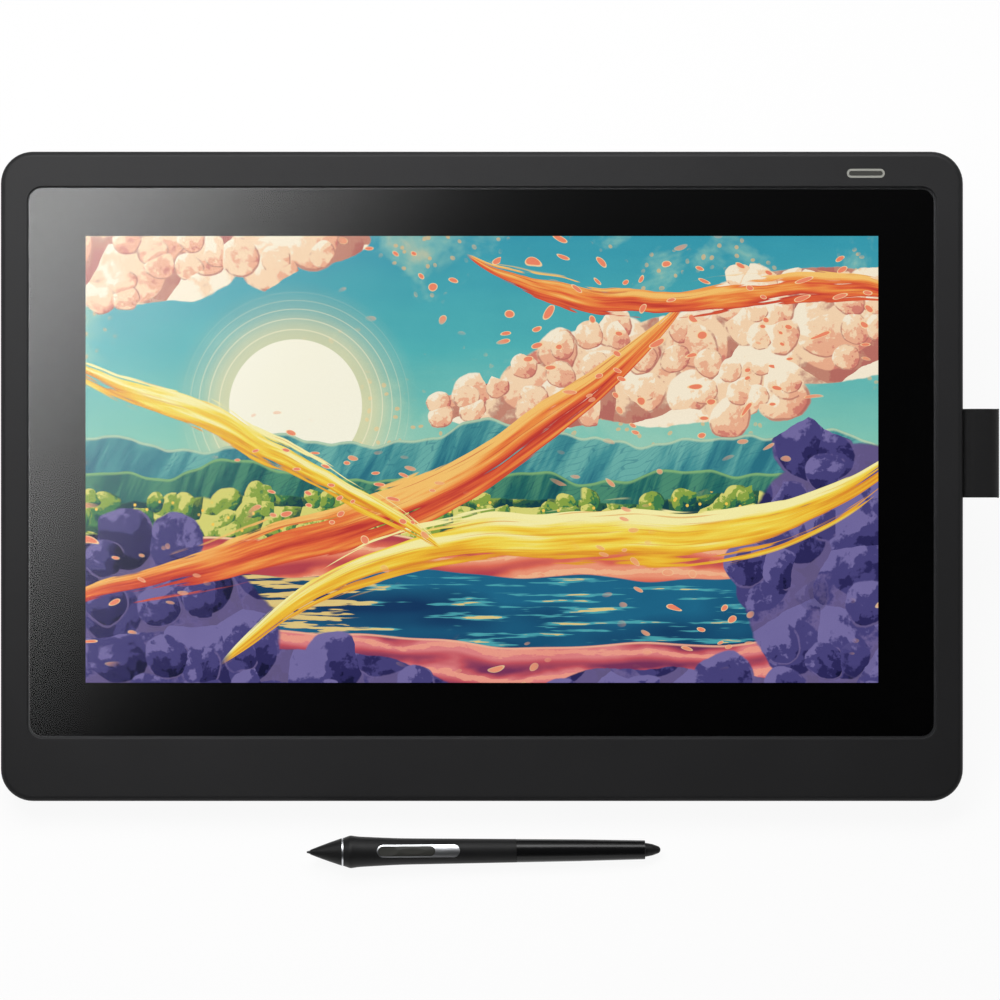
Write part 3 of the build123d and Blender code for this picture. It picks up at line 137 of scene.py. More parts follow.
class Tree:
    """A node tree whose node method adds any node. A flat one has textures in two dimensions."""

    flat = False

    def __init__(self, tree):
        self.tree = tree

    def node(self, kind, settings=None, inputs=None, output=0):
        """Adds a node, with its settings first and then the values or links of its sockets."""
        made = self.tree.nodes.new(kind)
        for name, value in (settings or {}).items():
            if name == "stops":
                self.set_stops(made.color_ramp, value)
            else:
                setattr(made, name, value)
        for name, value in (inputs or {}).items():
            if isinstance(value, Signal):
                self.tree.links.new(value.socket, made.inputs[name])
            else:
                made.inputs[name].default_value = value
        return Signal(self, made.outputs[output]) if len(made.outputs) else None

    def set_stops(self, ramp, stops):
        """Gives a colour ramp its stops, each a position and a colour."""
        while len(ramp.elements) < len(stops):
            ramp.elements.new(1.0)
        for element, (position, colour) in zip(ramp.elements, stops):
            element.position = position
            element.color = colour

    def math(self, operation, *values):
        return self.node("ShaderNodeMath", {"operation": operation}, dict(enumerate(values)))

    def place(self, centre=(0, 0, 0), turn=(0, 0, 0), scale=(1, 1, 1)):
        """Object coordinates in the axes of a piece at a centre, turned and divided by a scale."""
        here = self.node("ShaderNodeTexCoord", output="Object")
        inputs = {"Vector": here, "Location": centre, "Rotation": turn, "Scale": scale}
        return self.node("ShaderNodeMapping", {"vector_type": "TEXTURE"}, inputs)

    def split(self, vector):
        """The three parts of a vector."""
        parts = self.node("ShaderNodeSeparateXYZ", inputs={0: vector})
        return parts.out("X"), parts.out("Y"), parts.out("Z")

    def channels(self, colour):
        """The three parts of a colour."""
        parts = self.node("ShaderNodeSeparateColor", inputs={0: colour})
        return parts.out("Red"), parts.out("Green"), parts.out("Blue")

    def join(self, x, y, z=0.0):
        return self.node("ShaderNodeCombineXYZ", inputs={0: x, 1: y, 2: z})

    def noise(self, vector, scale, detail=2.0, roughness=0.5):
        inputs = {"Vector": vector, "Scale": scale, "Detail": detail, "Roughness": roughness}
        settings = {"noise_dimensions": "2D" if self.flat else "3D"}
        return self.node("ShaderNodeTexNoise", settings, inputs)

    def cells(self, vector, scale, feature="F1", randomness=1.0):
        """Distance to the nearest of scattered points, or to the edges between their cells."""
        inputs = {"Vector": vector, "Scale": scale, "Randomness": randomness}
        settings = {"feature": feature, "voronoi_dimensions": "2D" if self.flat else "3D"}
        return self.node("ShaderNodeTexVoronoi", settings, inputs)

    def smooth(self, value, low, high):
        """0 below low and 1 above high, with a smooth step between."""
        settings = {"interpolation_type": "SMOOTHSTEP", "clamp": False}
        inputs = {"Value": value, "From Min": low, "From Max": high}
        return self.node("ShaderNodeMapRange", settings, inputs)

    def blend(self, mask, under, over, mode="MIX"):
        """Colour over another by a mask from 0 to 1."""
        settings = {"data_type": "RGBA", "blend_type": mode, "clamp_factor": True}
        return self.node("ShaderNodeMix", settings, {"Factor": mask, 6: under, 7: over}, 2)

    def ramp(self, value, *stops):
        """A colour from a value, by stops of a position and a colour."""
        return self.node("ShaderNodeValToRGB", {"stops": stops}, {0: value})

    def vector(self, operation, one, other, output="Vector"):
        inputs = {0: one, 1: other}
        return self.node("ShaderNodeVectorMath", {"operation": operation}, inputs, output)

    def warp(self, vector, scale, amount, detail=2.0):
        """A vector pushed about by noise, which keeps its average place."""
        red, green, _ = self.channels(self.noise(vector, scale, detail).out("Color"))
        push = self.join((red - 0.5) * amount, (green - 0.5) * amount)
        return self.vector("ADD", vector, push)

    def bump(self, height, depth):
        """A normal from a height of 0 to 1 that stands for a depth in metres."""
        return self.node("ShaderNodeBump", inputs={"Distance": depth, "Height": height})


class Finish(Tree):
    """A material while it is being made."""

    def __init__(self, name):
        self.material = bpy.data.materials.new(name)
        self.material.use_nodes = True
        super().__init__(self.material.node_tree)
        self.tree.nodes.clear()

    def tint(self, mask, colour, low, high=1.0):
        """A colour between two shares of its light, by a mask."""
        return self.blend(mask, dimmed(colour, low), dimmed(colour, high))

    def surface(self, colour, rough, normal=None, **inputs):
        """Ends the material in a Principled shader. A line joins two words of a socket's name."""
        named = {name.replace("_", " "): value for name, value in inputs.items()}
        named.update({"Base Color": colour, "Roughness": rough})
        if normal:
            named["Normal"] = normal
        self.end(self.node("ShaderNodeBsdfPrincipled", inputs=named))
        return self.material

    def end(self, shader):
        self.node("ShaderNodeOutputMaterial", inputs={"Surface": shader})


def moulded(name, colour, rough, grain, depth, gloss=0.5):
    """Moulded plastic with an eroded grain of a width and depth, and a cloud in its shine."""
    finish = Finish(name)
    here = finish.place()
    fine = finish.noise(here, 1 / grain, 3.0, 0.62)
    pits = finish.cells(here, 0.7 / grain, "SMOOTH_F1")
    cloud = finish.noise(here, 22.0, 2.0)
    height = fine * 0.7 + pits * 0.5
    tint = finish.tint(cloud, colour, 0.88, 1.1)
    rough = rough + 0.06 * cloud + 0.1 * (fine - 0.5)
    return finish.surface(tint, rough, finish.bump(height, depth), Specular_IOR_Level=gloss)


def brushed(name, colour, rough):
    """Metal with fine lines along x."""
    finish = Finish(name)
    stretch = 40.0
    lines = finish.noise(finish.place(scale=(stretch, 1, 1)), 3000.0, 2.0, 0.6)
    smear = finish.noise(finish.place(), 150.0)
    tint = finish.tint(lines, colour, 0.86)
    rough = rough + 0.12 * lines + 0.05 * smear
    return finish.surface(tint, rough, finish.bump(lines, 0.004 * MM), Metallic=1.0)


def rubber(colour):
    """Matt rubber with a dusty bloom and a fine open grain."""
    finish = Finish("foot_rubber")
    here = finish.place()
    grain = finish.noise(here, 2600.0, 3.0, 0.7)
    bloom = finish.noise(here, 60.0, 4.0, 0.6)
    tint = finish.blend(finish.smooth(bloom, 0.35, 0.75), colour, shade(58, 57, 56))
    tooth = finish.bump(grain, 0.05 * MM)
    return finish.surface(tint, 0.78 + 0.12 * grain, tooth, Specular_IOR_Level=0.3)


def etched_glass(rough):
    """Clear glass with an etched face. Light leaves it without a reflection inside."""
    finish = Finish("etched_glass")
    here = finish.place()
    sparkle = finish.noise(here, 5200.0, 2.0, 0.7)
    inputs = {"Color": WHITE, "Roughness": rough + 0.03 * (sparkle - 0.5)}
    inputs["Normal"] = finish.bump(sparkle, 0.0004 * MM)
    mirror = finish.node("ShaderNodeBsdfGlossy", {"distribution": "GGX"}, inputs)
    clear = finish.node("ShaderNodeBsdfTransparent", inputs={"Color": (0.985, 0.99, 0.99, 1.0)})
    inner = finish.node("ShaderNodeNewGeometry", output="Backfacing")
    share = finish.node("ShaderNodeFresnel", inputs={"IOR": 1.53}) * (1 - inner)
    finish.end(finish.node("ShaderNodeMixShader", inputs={0: share, 1: clear, 2: mirror}))
    return finish.material


def printed_film():
    """Black ink behind the glass, with the faint dot of its screen print."""
    finish = Finish("printed_film")
    dots = finish.cells(finish.place(), 2500.0)
    tint = finish.blend(dots, (0.0008, 0.0008, 0.0009, 1.0), (0.0016, 0.0016, 0.0017, 1.0))
    return finish.surface(tint, 0.6 + 0.1 * dots, Specular_IOR_Level=0.0)


class Painting(Finish):
    """The lit picture: wind-blown bands over layered hills, clouds and a low sun.
    It is drawn in units of the picture's height, from its lower left corner."""

    flat = True

    def __init__(self, width, height):
        super().__init__("screen_picture")
        corner = leaning(middle("lcd_cell")) @ Vector((-width / 2, -height / 2, 0.0))
        self.page = self.place(corner, (LEAN, 0, 0), (height, height, height))
        self.x, self.y, self.out_of_page = self.split(self.page)
        self.colour = None

    def line(self, base, reach, scale, seed, detail=3.0):
        """A hand-drawn line across the page: its height at each x."""
        wave = self.streaks(self.x * scale, seed, detail, 0.55)
        return base + reach * (wave - 0.5)

    def streaks(self, along, up, detail=3.0, roughness=0.6):
        """Noise over two coordinates that may be stretched or bent."""
        return self.noise(self.join(along, up), 1.0, detail, roughness)

    def below(self, line):
        """1 under a line, with a soft edge."""
        return self.smooth(line - self.y, 0.0, 0.003)

    def disc(self, x, y, size):
        """1 in the middle of a disc, 0 on its rim and less outside."""
        along, up = (self.x - x) / size, (self.y - y) / size
        return 1.0 - (along * along + up * up)

    def paint(self, mask, colour):
        self.colour = colour if self.colour is None else self.blend(mask, self.colour, colour)


def sky(art):
    """A turquoise sky with level brush strokes, drifting pale patches and a scatter of specks."""
    strokes = art.streaks(art.x * 3.0, art.y * 16.0, 5.0)
    drift = art.noise(art.warp(art.page, 2.0, 0.3), 3.0, 5.0, 0.62)
    height = art.y + 0.1 * (strokes - 0.5)
    art.paint(1.0, art.ramp(
        height,
        (0.35, shade(206, 222, 182)),
        (0.55, shade(142, 208, 190)),
        (0.75, shade(90, 188, 190)),
        (1.0, shade(62, 164, 184)),
    ))
    art.paint(0.55 * art.smooth(drift, 0.52, 0.66), shade(168, 216, 196))
    warm = 0.6 * art.smooth(drift, 0.62, 0.74) * art.smooth(art.y, 0.6, 0.9)
    art.paint(warm, shade(244, 214, 164))
    specks = 0.16 - art.cells(art.warp(art.page, 9.0, 0.03), 30.0)
    dust = 0.7 * art.smooth(specks, 0.0, 0.03) * art.smooth(drift, 0.5, 0.6)
    art.paint(dust, shade(236, 196, 140))


def sun(art, x, y, size):
    """A pale low sun in a soft glow, with drawn rings round it."""
    round_sun = art.disc(x, y, size)
    for reach, strength in ((-2.6, 0.35), (-1.2, 0.5)):
        art.paint(strength * art.smooth(round_sun, reach, 0.0), shade(250, 232, 180))
    rings = art.smooth(art.math("SINE", round_sun * 16.0), 0.9, 0.98)
    art.paint(0.5 * rings * art.smooth(round_sun, -2.4, -0.6), shade(255, 246, 214))
    art.paint(art.smooth(round_sun, 0.0, 0.03), shade(255, 251, 232))


class PuffLayer(Tree):
    """A node group that paints billows over a colour, inside a few ellipses or under a line.
    Its fill closes the gaps between them. The paint lies in broken patches of four tones."""

    flat = True

    def __init__(self, places, tones, rim):
        group = bpy.data.node_groups.new("puff_layer", "ShaderNodeTree")
        super().__init__(group)
        sockets = {"Color": ("Under",), "Vector": ("Page", "Shift"), "Float": ("Size", "Line", "Fill")}
        for kind, names in sockets.items():
            for name in names:
                group.interface.new_socket(name, in_out="INPUT", socket_type=f"NodeSocket{kind}")
        group.interface.new_socket("Colour", in_out="OUTPUT", socket_type="NodeSocketColor")
        given = self.node("NodeGroupInput")
        page, shift = given.out("Page"), given.out("Shift")
        size, line, fill = given.out("Size"), given.out("Line"), given.out("Fill")
        puffs = self.cells(self.vector("ADD", page, shift), 1.0 / size, randomness=0.8)
        centre = self.vector("SUBTRACT", puffs.out("Position"), shift)
        away = self.vector("SUBTRACT", page, centre)
        lit = self.vector("DOT_PRODUCT", away, (-0.6, 0.8, 0.0), "Value")
        pick, _, _ = self.channels(puffs.out("Color"))
        reach = 0.42 + 0.10 * pick
        there = self.math("MAXIMUM", fill, self.smooth(pick, 0.40, 0.42))
        within = self.smooth(self.mass(centre, line, places), 0.0, 0.01)
        whole = there * (within * self.smooth(reach - puffs, 0.0, 0.035))
        closed = fill * self.smooth(self.mass(page, line, places), 0.02, 0.08)
        whole = self.math("MAXIMUM", whole, closed)
        brush = self.noise(page, 2.2 / size, 4.0, 0.62) - 0.5
        light = 0.45 + 0.42 * lit / size + 0.7 * brush + 0.5 * (self.noise(page, 5.0) - 0.5)
        light_tone, mid_tone, shade_tone, dark_tone = tones
        tone = self.ramp(
            light,
            (0.22, dark_tone), (0.26, shade_tone), (0.36, shade_tone),
            (0.40, mid_tone), (0.53, mid_tone), (0.58, light_tone),
        )
        colour = self.blend(whole, given.out("Under"), tone)
        edge = whole * self.smooth(puffs - reach, -0.07, -0.045) * self.smooth(0.5 - light, 0.0, 0.1)
        self.node("NodeGroupOutput", inputs={0: self.blend(0.6 * edge, colour, rim)})

    def mass(self, point, line, places):
        """Over 0 under the line or inside an ellipse, and 1 in the middle of an ellipse."""
        height = self.vector("DOT_PRODUCT", point, (0.0, 1.0, 0.0), "Value")
        inside = (line - height) * 12.0
        for x, y, wide, high in places:
            away = self.vector("SUBTRACT", point, (x, y, 0.0))
            away = self.vector("MULTIPLY", away, (1 / wide, 1 / high, 0.0))
            square = self.vector("DOT_PRODUCT", away, away, "Value")
            inside = self.math("MAXIMUM", inside, 1.0 - square)
        return inside


def heap(art, places, sizes, tones, rim, line=-9.0, seed=0.0):
    """Billows piled up in layers, one for each size. The first layer is closed."""
    layer = PuffLayer(places, tones, rim)
    loose = art.warp(art.warp(art.page, 3.0, 0.05), 16.0, 0.016, 3.0)
    for n, size in enumerate(sizes):
        inputs = {"Under": art.colour, "Page": loose, "Shift": (seed + 3.7 * n, 0.37 * n, 0.0)}
        inputs.update({"Size": size, "Line": line, "Fill": 1.0 if n == 0 else 0.0})
        art.colour = art.node("ShaderNodeGroup", {"node_tree": layer.tree}, inputs)


def range_of_hills(art, line, tones, scale, seed):
    """A far range: a drawn edge, a lighter crest and hatching down its slope."""
    inside = art.below(line)
    depth = line - art.y
    hatch = art.streaks(art.x * scale * 6.0 + depth * 9.0, art.y * 3.0 + seed, 4.0)
    tone = art.ramp(hatch - 0.8 * depth, (0.25, tones[2]), (0.42, tones[1]), (0.56, tones[0]))
    art.paint(inside, tone)
    slanted = art.join(art.x * 2.0 + depth * 3.0, art.y * 0.8 + seed)
    cracks = art.cells(slanted, 26.0, "DISTANCE_TO_EDGE")
    art.paint(0.45 * inside * (1.0 - art.smooth(cracks, 0.02, 0.05)), tones[2])
    art.paint(0.8 * inside * (1.0 - art.smooth(depth, 0.004, 0.010)), tones[3])


def lamps(art, line, scale, colour):
    """Small warm lights in the trees under a line."""
    spots = art.cells(art.page, scale)
    glow, _, _ = art.channels(spots.out("Color"))
    dots = art.below(line) * art.smooth(0.13 - spots, 0.0, 0.03)
    art.paint(dots * art.smooth(glow, 0.6, 0.65), colour)


def dune(art, line, tones, pitch, seed):
    """A rolling slope with bands that follow its crest, broken like a dry brush."""
    inside = art.below(line)
    depth = line - art.y
    drift = art.streaks(art.x * 2.0, art.y * 5.0 + seed, 4.0)
    bands = art.math("SINE", (depth + 0.08 * drift) * (2 * pi / pitch))
    dry = art.streaks(art.x * 30.0, depth * 90.0 + seed, 3.0, 0.7)
    tone = art.ramp(drift + 0.18 * bands, (0.28, tones[2]), (0.46, tones[1]), (0.64, tones[0]))
    art.paint(inside, tone)
    art.paint(inside * 0.7 * art.smooth(bands + dry - 0.5, 0.72, 0.86), tones[3])
    art.paint(inside * (1.0 - art.smooth(depth, 0.003, 0.008)), tones[4])


def pool(art, line, low, tones, sun_x):
    """Still water between a line and a lower one, with level glints and the sun's path on it."""
    inside = art.below(line) * (1.0 - art.below(low))
    glints = art.streaks(art.x * 5.0, art.y * 70.0)
    deep = art.streaks(art.x * 2.0, art.y * 7.0, 2.0, 0.5)
    art.paint(inside, art.ramp(deep, (0.35, tones[0]), (0.65, tones[1])))
    art.paint(inside * 0.85 * art.smooth(glints, 0.56, 0.64), tones[2])
    path = 1.0 - art.smooth(abs(art.x - sun_x), 0.05, 0.24)
    art.paint(inside * 0.9 * art.smooth(glints + 0.2 * path, 0.68, 0.71), tones[3])


def band(art, points, width, tones, strands, seed):
    """A blown band along a curve through four heights at even steps of x, torn into strands.
    Its points are (start x, end x) and the four heights; it tapers to nothing at both ends."""
    (start, end), (first, second, third, fourth) = points
    t = (art.x - start) / (end - start)
    s = 1.0 - t
    curve = first * s * s * s + 3.0 * second * s * s * t + 3.0 * third * s * t * t + fourth * t * t * t
    slow = art.streaks(t * 3.0, seed, 2.0, 0.5)
    swell = art.math("MAXIMUM", 4.0 * t * s, 0.0) ** 0.6
    reach = width * swell * (0.7 + 0.6 * slow) + 0.0001
    side = (art.y - curve - 0.06 * (slow - 0.5)) / reach
    tear = art.streaks(t * 4.0, side * strands + seed, 3.0, 0.55)
    held = art.smooth(t, 0.0, 0.02) * art.smooth(s, 0.0, 0.02)
    torn = art.smooth(tear - 0.42 * abs(side), 0.2, 0.24)
    mask = held * art.smooth(1.0 - abs(side), 0.0, 0.16) * torn
    tone = art.ramp(
        tear + 0.25 * side, (0.3, tones[0]), (0.44, tones[1]), (0.56, tones[2]), (0.7, tones[3])
    )
    art.paint(mask, tone)
    hairs = art.streaks(t * 5.0, side * strands * 4.0 + seed, 2.0)
    art.paint(0.5 * mask * art.smooth(hairs, 0.62, 0.68), tones[0])


def petals(art, scale, spread, colour, rim):
    """Small petals with a drawn rim, scattered where the spread is high."""
    loose = art.warp(art.page, 3.0, 0.2)
    drops = art.cells(art.vector("MULTIPLY", loose, (1.0, 1.9, 0.0)), scale)
    pick, _, _ = art.channels(drops.out("Color"))
    size = 0.08 + 0.12 * pick
    there = spread * art.smooth(pick, 0.45, 0.47)
    art.paint(there * art.smooth(size - drops, 0.0, 0.02), rim)
    art.paint(there * art.smooth(size - 0.03 - drops, 0.0, 0.02), colour)


def picture(width, height, strength):
    """The picture that the screen shows, as light from the front of its cell."""
    art = Painting(width, height)
    sky(art)
    sun(art, 0.47, 0.62, 0.15)
    cream = shades((255, 243, 220), (253, 222, 186), (244, 186, 152), (222, 140, 122))
    clouds = (
        (1.30, 0.70, 0.34, 0.12), (1.62, 0.80, 0.28, 0.14), (0.98, 0.62, 0.2, 0.06),
        (0.08, 0.93, 0.26, 0.09), (0.44, 0.99, 0.20, 0.06),
    )
    heap(art, clouds, (0.15, 0.10, 0.065), cream, shade(176, 104, 98), seed=1.0)
    far = shades((118, 186, 178), (78, 156, 160), (48, 122, 140), (206, 226, 190))
    range_of_hills(art, art.line(0.55, 0.22, 2.6, 3.0), far, 3.0, 1.0)
    near = shades((84, 150, 122), (46, 118, 110), (28, 88, 98), (150, 196, 130))
    range_of_hills(art, art.line(0.47, 0.20, 2.1, 8.0), near, 4.0, 5.0)
    tree_line = art.line(0.41, 0.16, 1.7, 12.0)
    leaves = shades((226, 222, 128), (150, 176, 78), (70, 134, 84), (30, 88, 88))
    heap(art, (), (0.065, 0.045), leaves, shade(22, 62, 74), tree_line, 15.0)
    lamps(art, tree_line, 34.0, shade(252, 212, 96))
    coral = shades((246, 164, 130), (232, 118, 96), (196, 78, 88), (252, 200, 158), (255, 222, 180))
    dune(art, art.line(0.33, 0.14, 1.4, 21.0, 2.0), coral, 0.06, 2.0)
    water = shades((24, 62, 104), (36, 112, 146), (90, 184, 190), (244, 214, 136))
    far_bank, near_bank = art.line(0.24, 0.10, 1.9, 30.0, 2.0), art.line(0.08, 0.14, 1.2, 33.0, 2.0)
    pool(art, far_bank, near_bank, water, 0.47)
    rose = shades((232, 140, 140), (206, 92, 104), (132, 58, 98), (250, 176, 150), (248, 190, 160))
    dune(art, art.line(0.10, 0.16, 1.3, 41.0, 2.0), rose, 0.05, 7.0)
    plum = shades((128, 118, 172), (80, 74, 132), (50, 46, 98), (26, 26, 64))
    bushes = (
        (0.08, 0.10, 0.36, 0.24), (0.50, -0.04, 0.34, 0.12),
        (1.72, 0.24, 0.26, 0.30), (1.30, -0.06, 0.30, 0.10),
    )
    heap(art, bushes, (0.15, 0.10), plum, shade(136, 120, 170), seed=21.0)
    yellow = shades((232, 150, 52), (248, 200, 62), (252, 230, 96), (255, 246, 180))
    orange = shades((204, 66, 58), (236, 110, 66), (248, 160, 80), (254, 206, 120))
    band(art, ((-0.1, 1.35), (0.16, 0.34, 0.30, 0.86)), 0.075, orange, 2.4, 3.0)
    band(art, ((0.3, 1.95), (0.04, 0.62, 0.02, 0.62)), 0.085, yellow, 3.0, 11.0)
    band(art, ((-0.15, 0.8), (0.78, 0.62, 0.52, 0.30)), 0.05, yellow, 2.6, 17.0)
    band(art, ((0.85, 1.9), (0.96, 0.72, 0.98, 0.84)), 0.05, orange, 2.2, 23.0)
    spread = art.smooth(art.noise(art.page, 1.8, 1.0), 0.48, 0.6)
    petals(art, 14.0, spread, shade(246, 146, 112), shade(255, 220, 170))
    grain = art.noise(art.page, 240.0, 2.0, 0.7)
    wash = art.noise(art.page, 5.0, 4.0, 0.6)
    darker = art.blend(0.35 * wash, art.colour, shade(40, 60, 90), "SOFT_LIGHT")
    inked = art.blend(0.10 * grain, darker, BLACK)
    front = art.smooth(art.out_of_page, 0.0, 0.001)
    shown = art.blend(front, BLACK, inked)
    screen = art.surface(
        BLACK, 0.5, Specular_IOR_Level=0.0, Emission_Color=shown, Emission_Strength=strength
    )
    screen.cycles.emission_sampling = "NONE"
    return screen


def circuit_board():
    """Green solder mask over copper tracks, with tinned pads."""
    finish = Finish("solder_mask")
    here = finish.place(turn=(LEAN, 0, 0))
    inputs = {"Vector": here, "Scale": 260.0}
    tracks = finish.node("ShaderNodeTexVoronoi", {"distance": "MANHATTAN"}, inputs)
    ridge = finish.smooth(abs(tracks - 0.5), 0.06, 0.02)
    pads = finish.smooth(0.16 - finish.cells(here, 190.0), 0.0, 0.02)
    mask = finish.blend(ridge, shade(12, 74, 48), shade(30, 112, 70))
    tint = finish.blend(pads, mask, shade(196, 190, 176))
    raised = finish.bump(ridge, 0.03 * MM)
    return finish.surface(tint, 0.34 + 0.1 * ridge, raised, Metallic=pads)


def ribbon_film():
    """Amber film with copper lines along it."""
    finish = Finish("ribbon_film")
    x, _, _ = finish.split(finish.place())
    lines = finish.smooth(finish.math("SINE", x * (2 * pi / (0.8 * MM))), 0.0, 0.5)
    tint = finish.blend(lines, shade(150, 96, 30), shade(198, 134, 62))
    return finish.surface(tint, 0.3 + 0.1 * lines, finish.bump(lines, 0.02 * MM))


def wound_wire(pitch):
    """Enamelled copper wire laid side by side round the pen's axis."""
    finish = Finish("coil_wire")
    x, _, _ = finish.split(finish.place())
    turns = abs(finish.math("SINE", x * (pi / pitch)))
    tint = finish.blend(turns, shade(96, 44, 20), shade(206, 118, 62))
    ridges = finish.bump(turns, 0.05 * MM)
    return finish.surface(tint, 0.4 - 0.12 * turns, ridges, Metallic=1.0)


def satin_plate(colour):
    """Satin plating with fine blasting and a soft cloud in its shine."""
    finish = Finish("pen_plating")
    here = finish.place()
    blast = finish.noise(here, 5200.0, 2.0, 0.6)
    cloud = finish.noise(here, 240.0)
    tint = finish.tint(cloud, colour, 0.9)
    rough = 0.24 + 0.1 * cloud + 0.06 * blast
    return finish.surface(tint, rough, finish.bump(blast, 0.004 * MM), Metallic=1.0)


def soft_touch(name, colour, rough, gloss=0.4):
    """Soft-touch coating, with a fine even tooth and a faint bloom where light grazes it."""
    finish = Finish(name)
    here = finish.place()
    tooth = finish.noise(here, 4200.0, 3.0, 0.65)
    handled = finish.noise(here, 70.0, 3.0, 0.55)
    return finish.surface(
        finish.tint(handled, colour, 0.85, 1.15),
        rough + 0.08 * handled + 0.06 * tooth,
        finish.bump(tooth, 0.012 * MM),
        Specular_IOR_Level=gloss,
        Sheen_Weight=0.06,
        Sheen_Roughness=0.5,
    )


def polished(name, colour, rough, gloss=0.5):
    """Polished plastic with a trace of moulding flow."""
    finish = Finish(name)
    here = finish.place()
    flow = finish.noise(finish.warp(here, 60.0, 0.004), 90.0, 3.0)
    haze = finish.noise(here, 1500.0, 2.0)
    tint = finish.tint(flow, colour, 0.9)
    rough = rough + 0.05 * flow + 0.03 * haze
    return finish.surface(tint, rough, finish.bump(flow, 0.006 * MM), Specular_IOR_Level=gloss)


def woven_elastic(colour, cord_pitch, pick_pitch):
    """Woven elastic: covered cords along the band, held by fine threads that cross them in turn. Their
    raised tops carry a painted highlight.
    """
    finish = Finish("woven_elastic")
    along = finish.node("ShaderNodeAttribute", {"attribute_name": "along"}, output="Fac")
    across = finish.node("ShaderNodeAttribute", {"attribute_name": "across"}, output="Fac")
    cord = finish.math("SINE", across * (2 * pi / cord_pitch))
    pick = finish.math("SINE", along * (2 * pi / pick_pitch) + (pi / 2) * cord / (abs(cord) + 0.1))
    height = 0.5 + 0.3 * cord * cord * cord + 0.3 * pick * abs(cord)
    fuzz = finish.noise(finish.place(), 3500.0, 3.0, 0.7)
    # Painted highlight: the raised tops of cords and threads, broken by random fuzz, are painted up to
    # 2.2 times lighter than the yarn.
    painted_highlight = finish.smooth(height + 0.3 * (fuzz - 0.5), 0.2, 0.95)
    return finish.surface(
        finish.tint(painted_highlight, colour, 1.0, 2.2),
        0.86 - 0.12 * height,
        finish.bump(height + 0.25 * fuzz, 0.09 * MM),
        Specular_IOR_Level=0.25,
        Sheen_Weight=0.14,
        Sheen_Roughness=0.45,
    )


class Pattern(Tree):
    """A Geometry Nodes group with named sizes, which ends in plain mesh with a material."""

    def __init__(self, name, material, **sizes):
        group = bpy.data.node_groups.new(name, "GeometryNodeTree")
        super().__init__(group)
        group.interface.new_socket("Geometry", in_out="INPUT", socket_type="NodeSocketGeometry")
        for size, value in sizes.items():
            kind = "NodeSocketInt" if isinstance(value, int) else "NodeSocketFloat"
            group.interface.new_socket(size, in_out="INPUT", socket_type=kind).default_value = value
        group.interface.new_socket("Geometry", in_out="OUTPUT", socket_type="NodeSocketGeometry")
        self.inputs = self.node("NodeGroupInput")
        self.material = material
        self.sizes = sizes

    def size(self, name):
        return self.inputs.out(name)

    def note(self, geometry, name, value):
        """Keeps a value on each point under a name, for the material."""
        inputs = {0: geometry, "Name": name, "Value": value}
        return self.node("GeometryNodeStoreNamedAttribute", inputs=inputs)

    def end(self, geometry):
        real = self.node("GeometryNodeRealizeInstances", inputs={0: geometry})
        dressed = self.node("GeometryNodeSetMaterial", inputs={0: real, "Material": self.material})
        self.node("NodeGroupOutput", inputs={0: dressed})

    def grow(self, name, start, place):
        """The group's result on a starting mesh, set at a place, as a plain mesh object."""
        seed = put(name, start)
        modifier = seed.modifiers.new(name, "NODES")
        modifier.node_group = self.tree
        for item in self.tree.interface.items_tree:
            if item.in_out == "INPUT" and item.name in self.sizes:
                modifier[item.identifier] = self.sizes[item.name]
        depsgraph = bpy.context.evaluated_depsgraph_get()
        settled = seed.evaluated_get(depsgraph)
        grown = bpy.data.meshes.new_from_object(
            settled, preserve_all_data_layers=True, depsgraph=depsgraph
        )
        if not grown.polygons:
            raise RuntimeError(f"{name} came out empty")
        seed.modifiers.remove(modifier)
        grown.transform(place)
        seed.data = grown
        return seed


def rounded_outline(corners, radii, step):
    """Points round a closed outline whose corners are rounded, each by its own radius."""
    points = []
    for n, radius in enumerate(radii):
        here, back = Vector(corners[n]), Vector(corners[n - 1])
        ahead = Vector(corners[(n + 1) % len(corners)])
        inward, onward = (here - back).normalized(), (ahead - here).normalized()
        turn = inward.angle_signed(onward)
        reach = radius * abs(sin(turn / 2) / cos(turn / 2))
        side = Vector((-inward.y, inward.x)) * (-1 if turn > 0 else 1)
        centre = here - inward * reach + side * radius
        pieces = max(2, ceil(abs(turn) * radius / step))
        for k in range(pieces + 1):
            points.append(centre + Matrix.Rotation(-turn * k / pieces, 2) @ (-side * radius))
    return points


def wire(name, points):
    """A mesh of edges only, closed through its points."""
    mesh = bpy.data.meshes.new(name)
    edges = [(n, (n + 1) % len(points)) for n in range(len(points))]
    mesh.from_pydata([(point[0], point[1], 0.0) for point in points], edges, [])
    return mesh


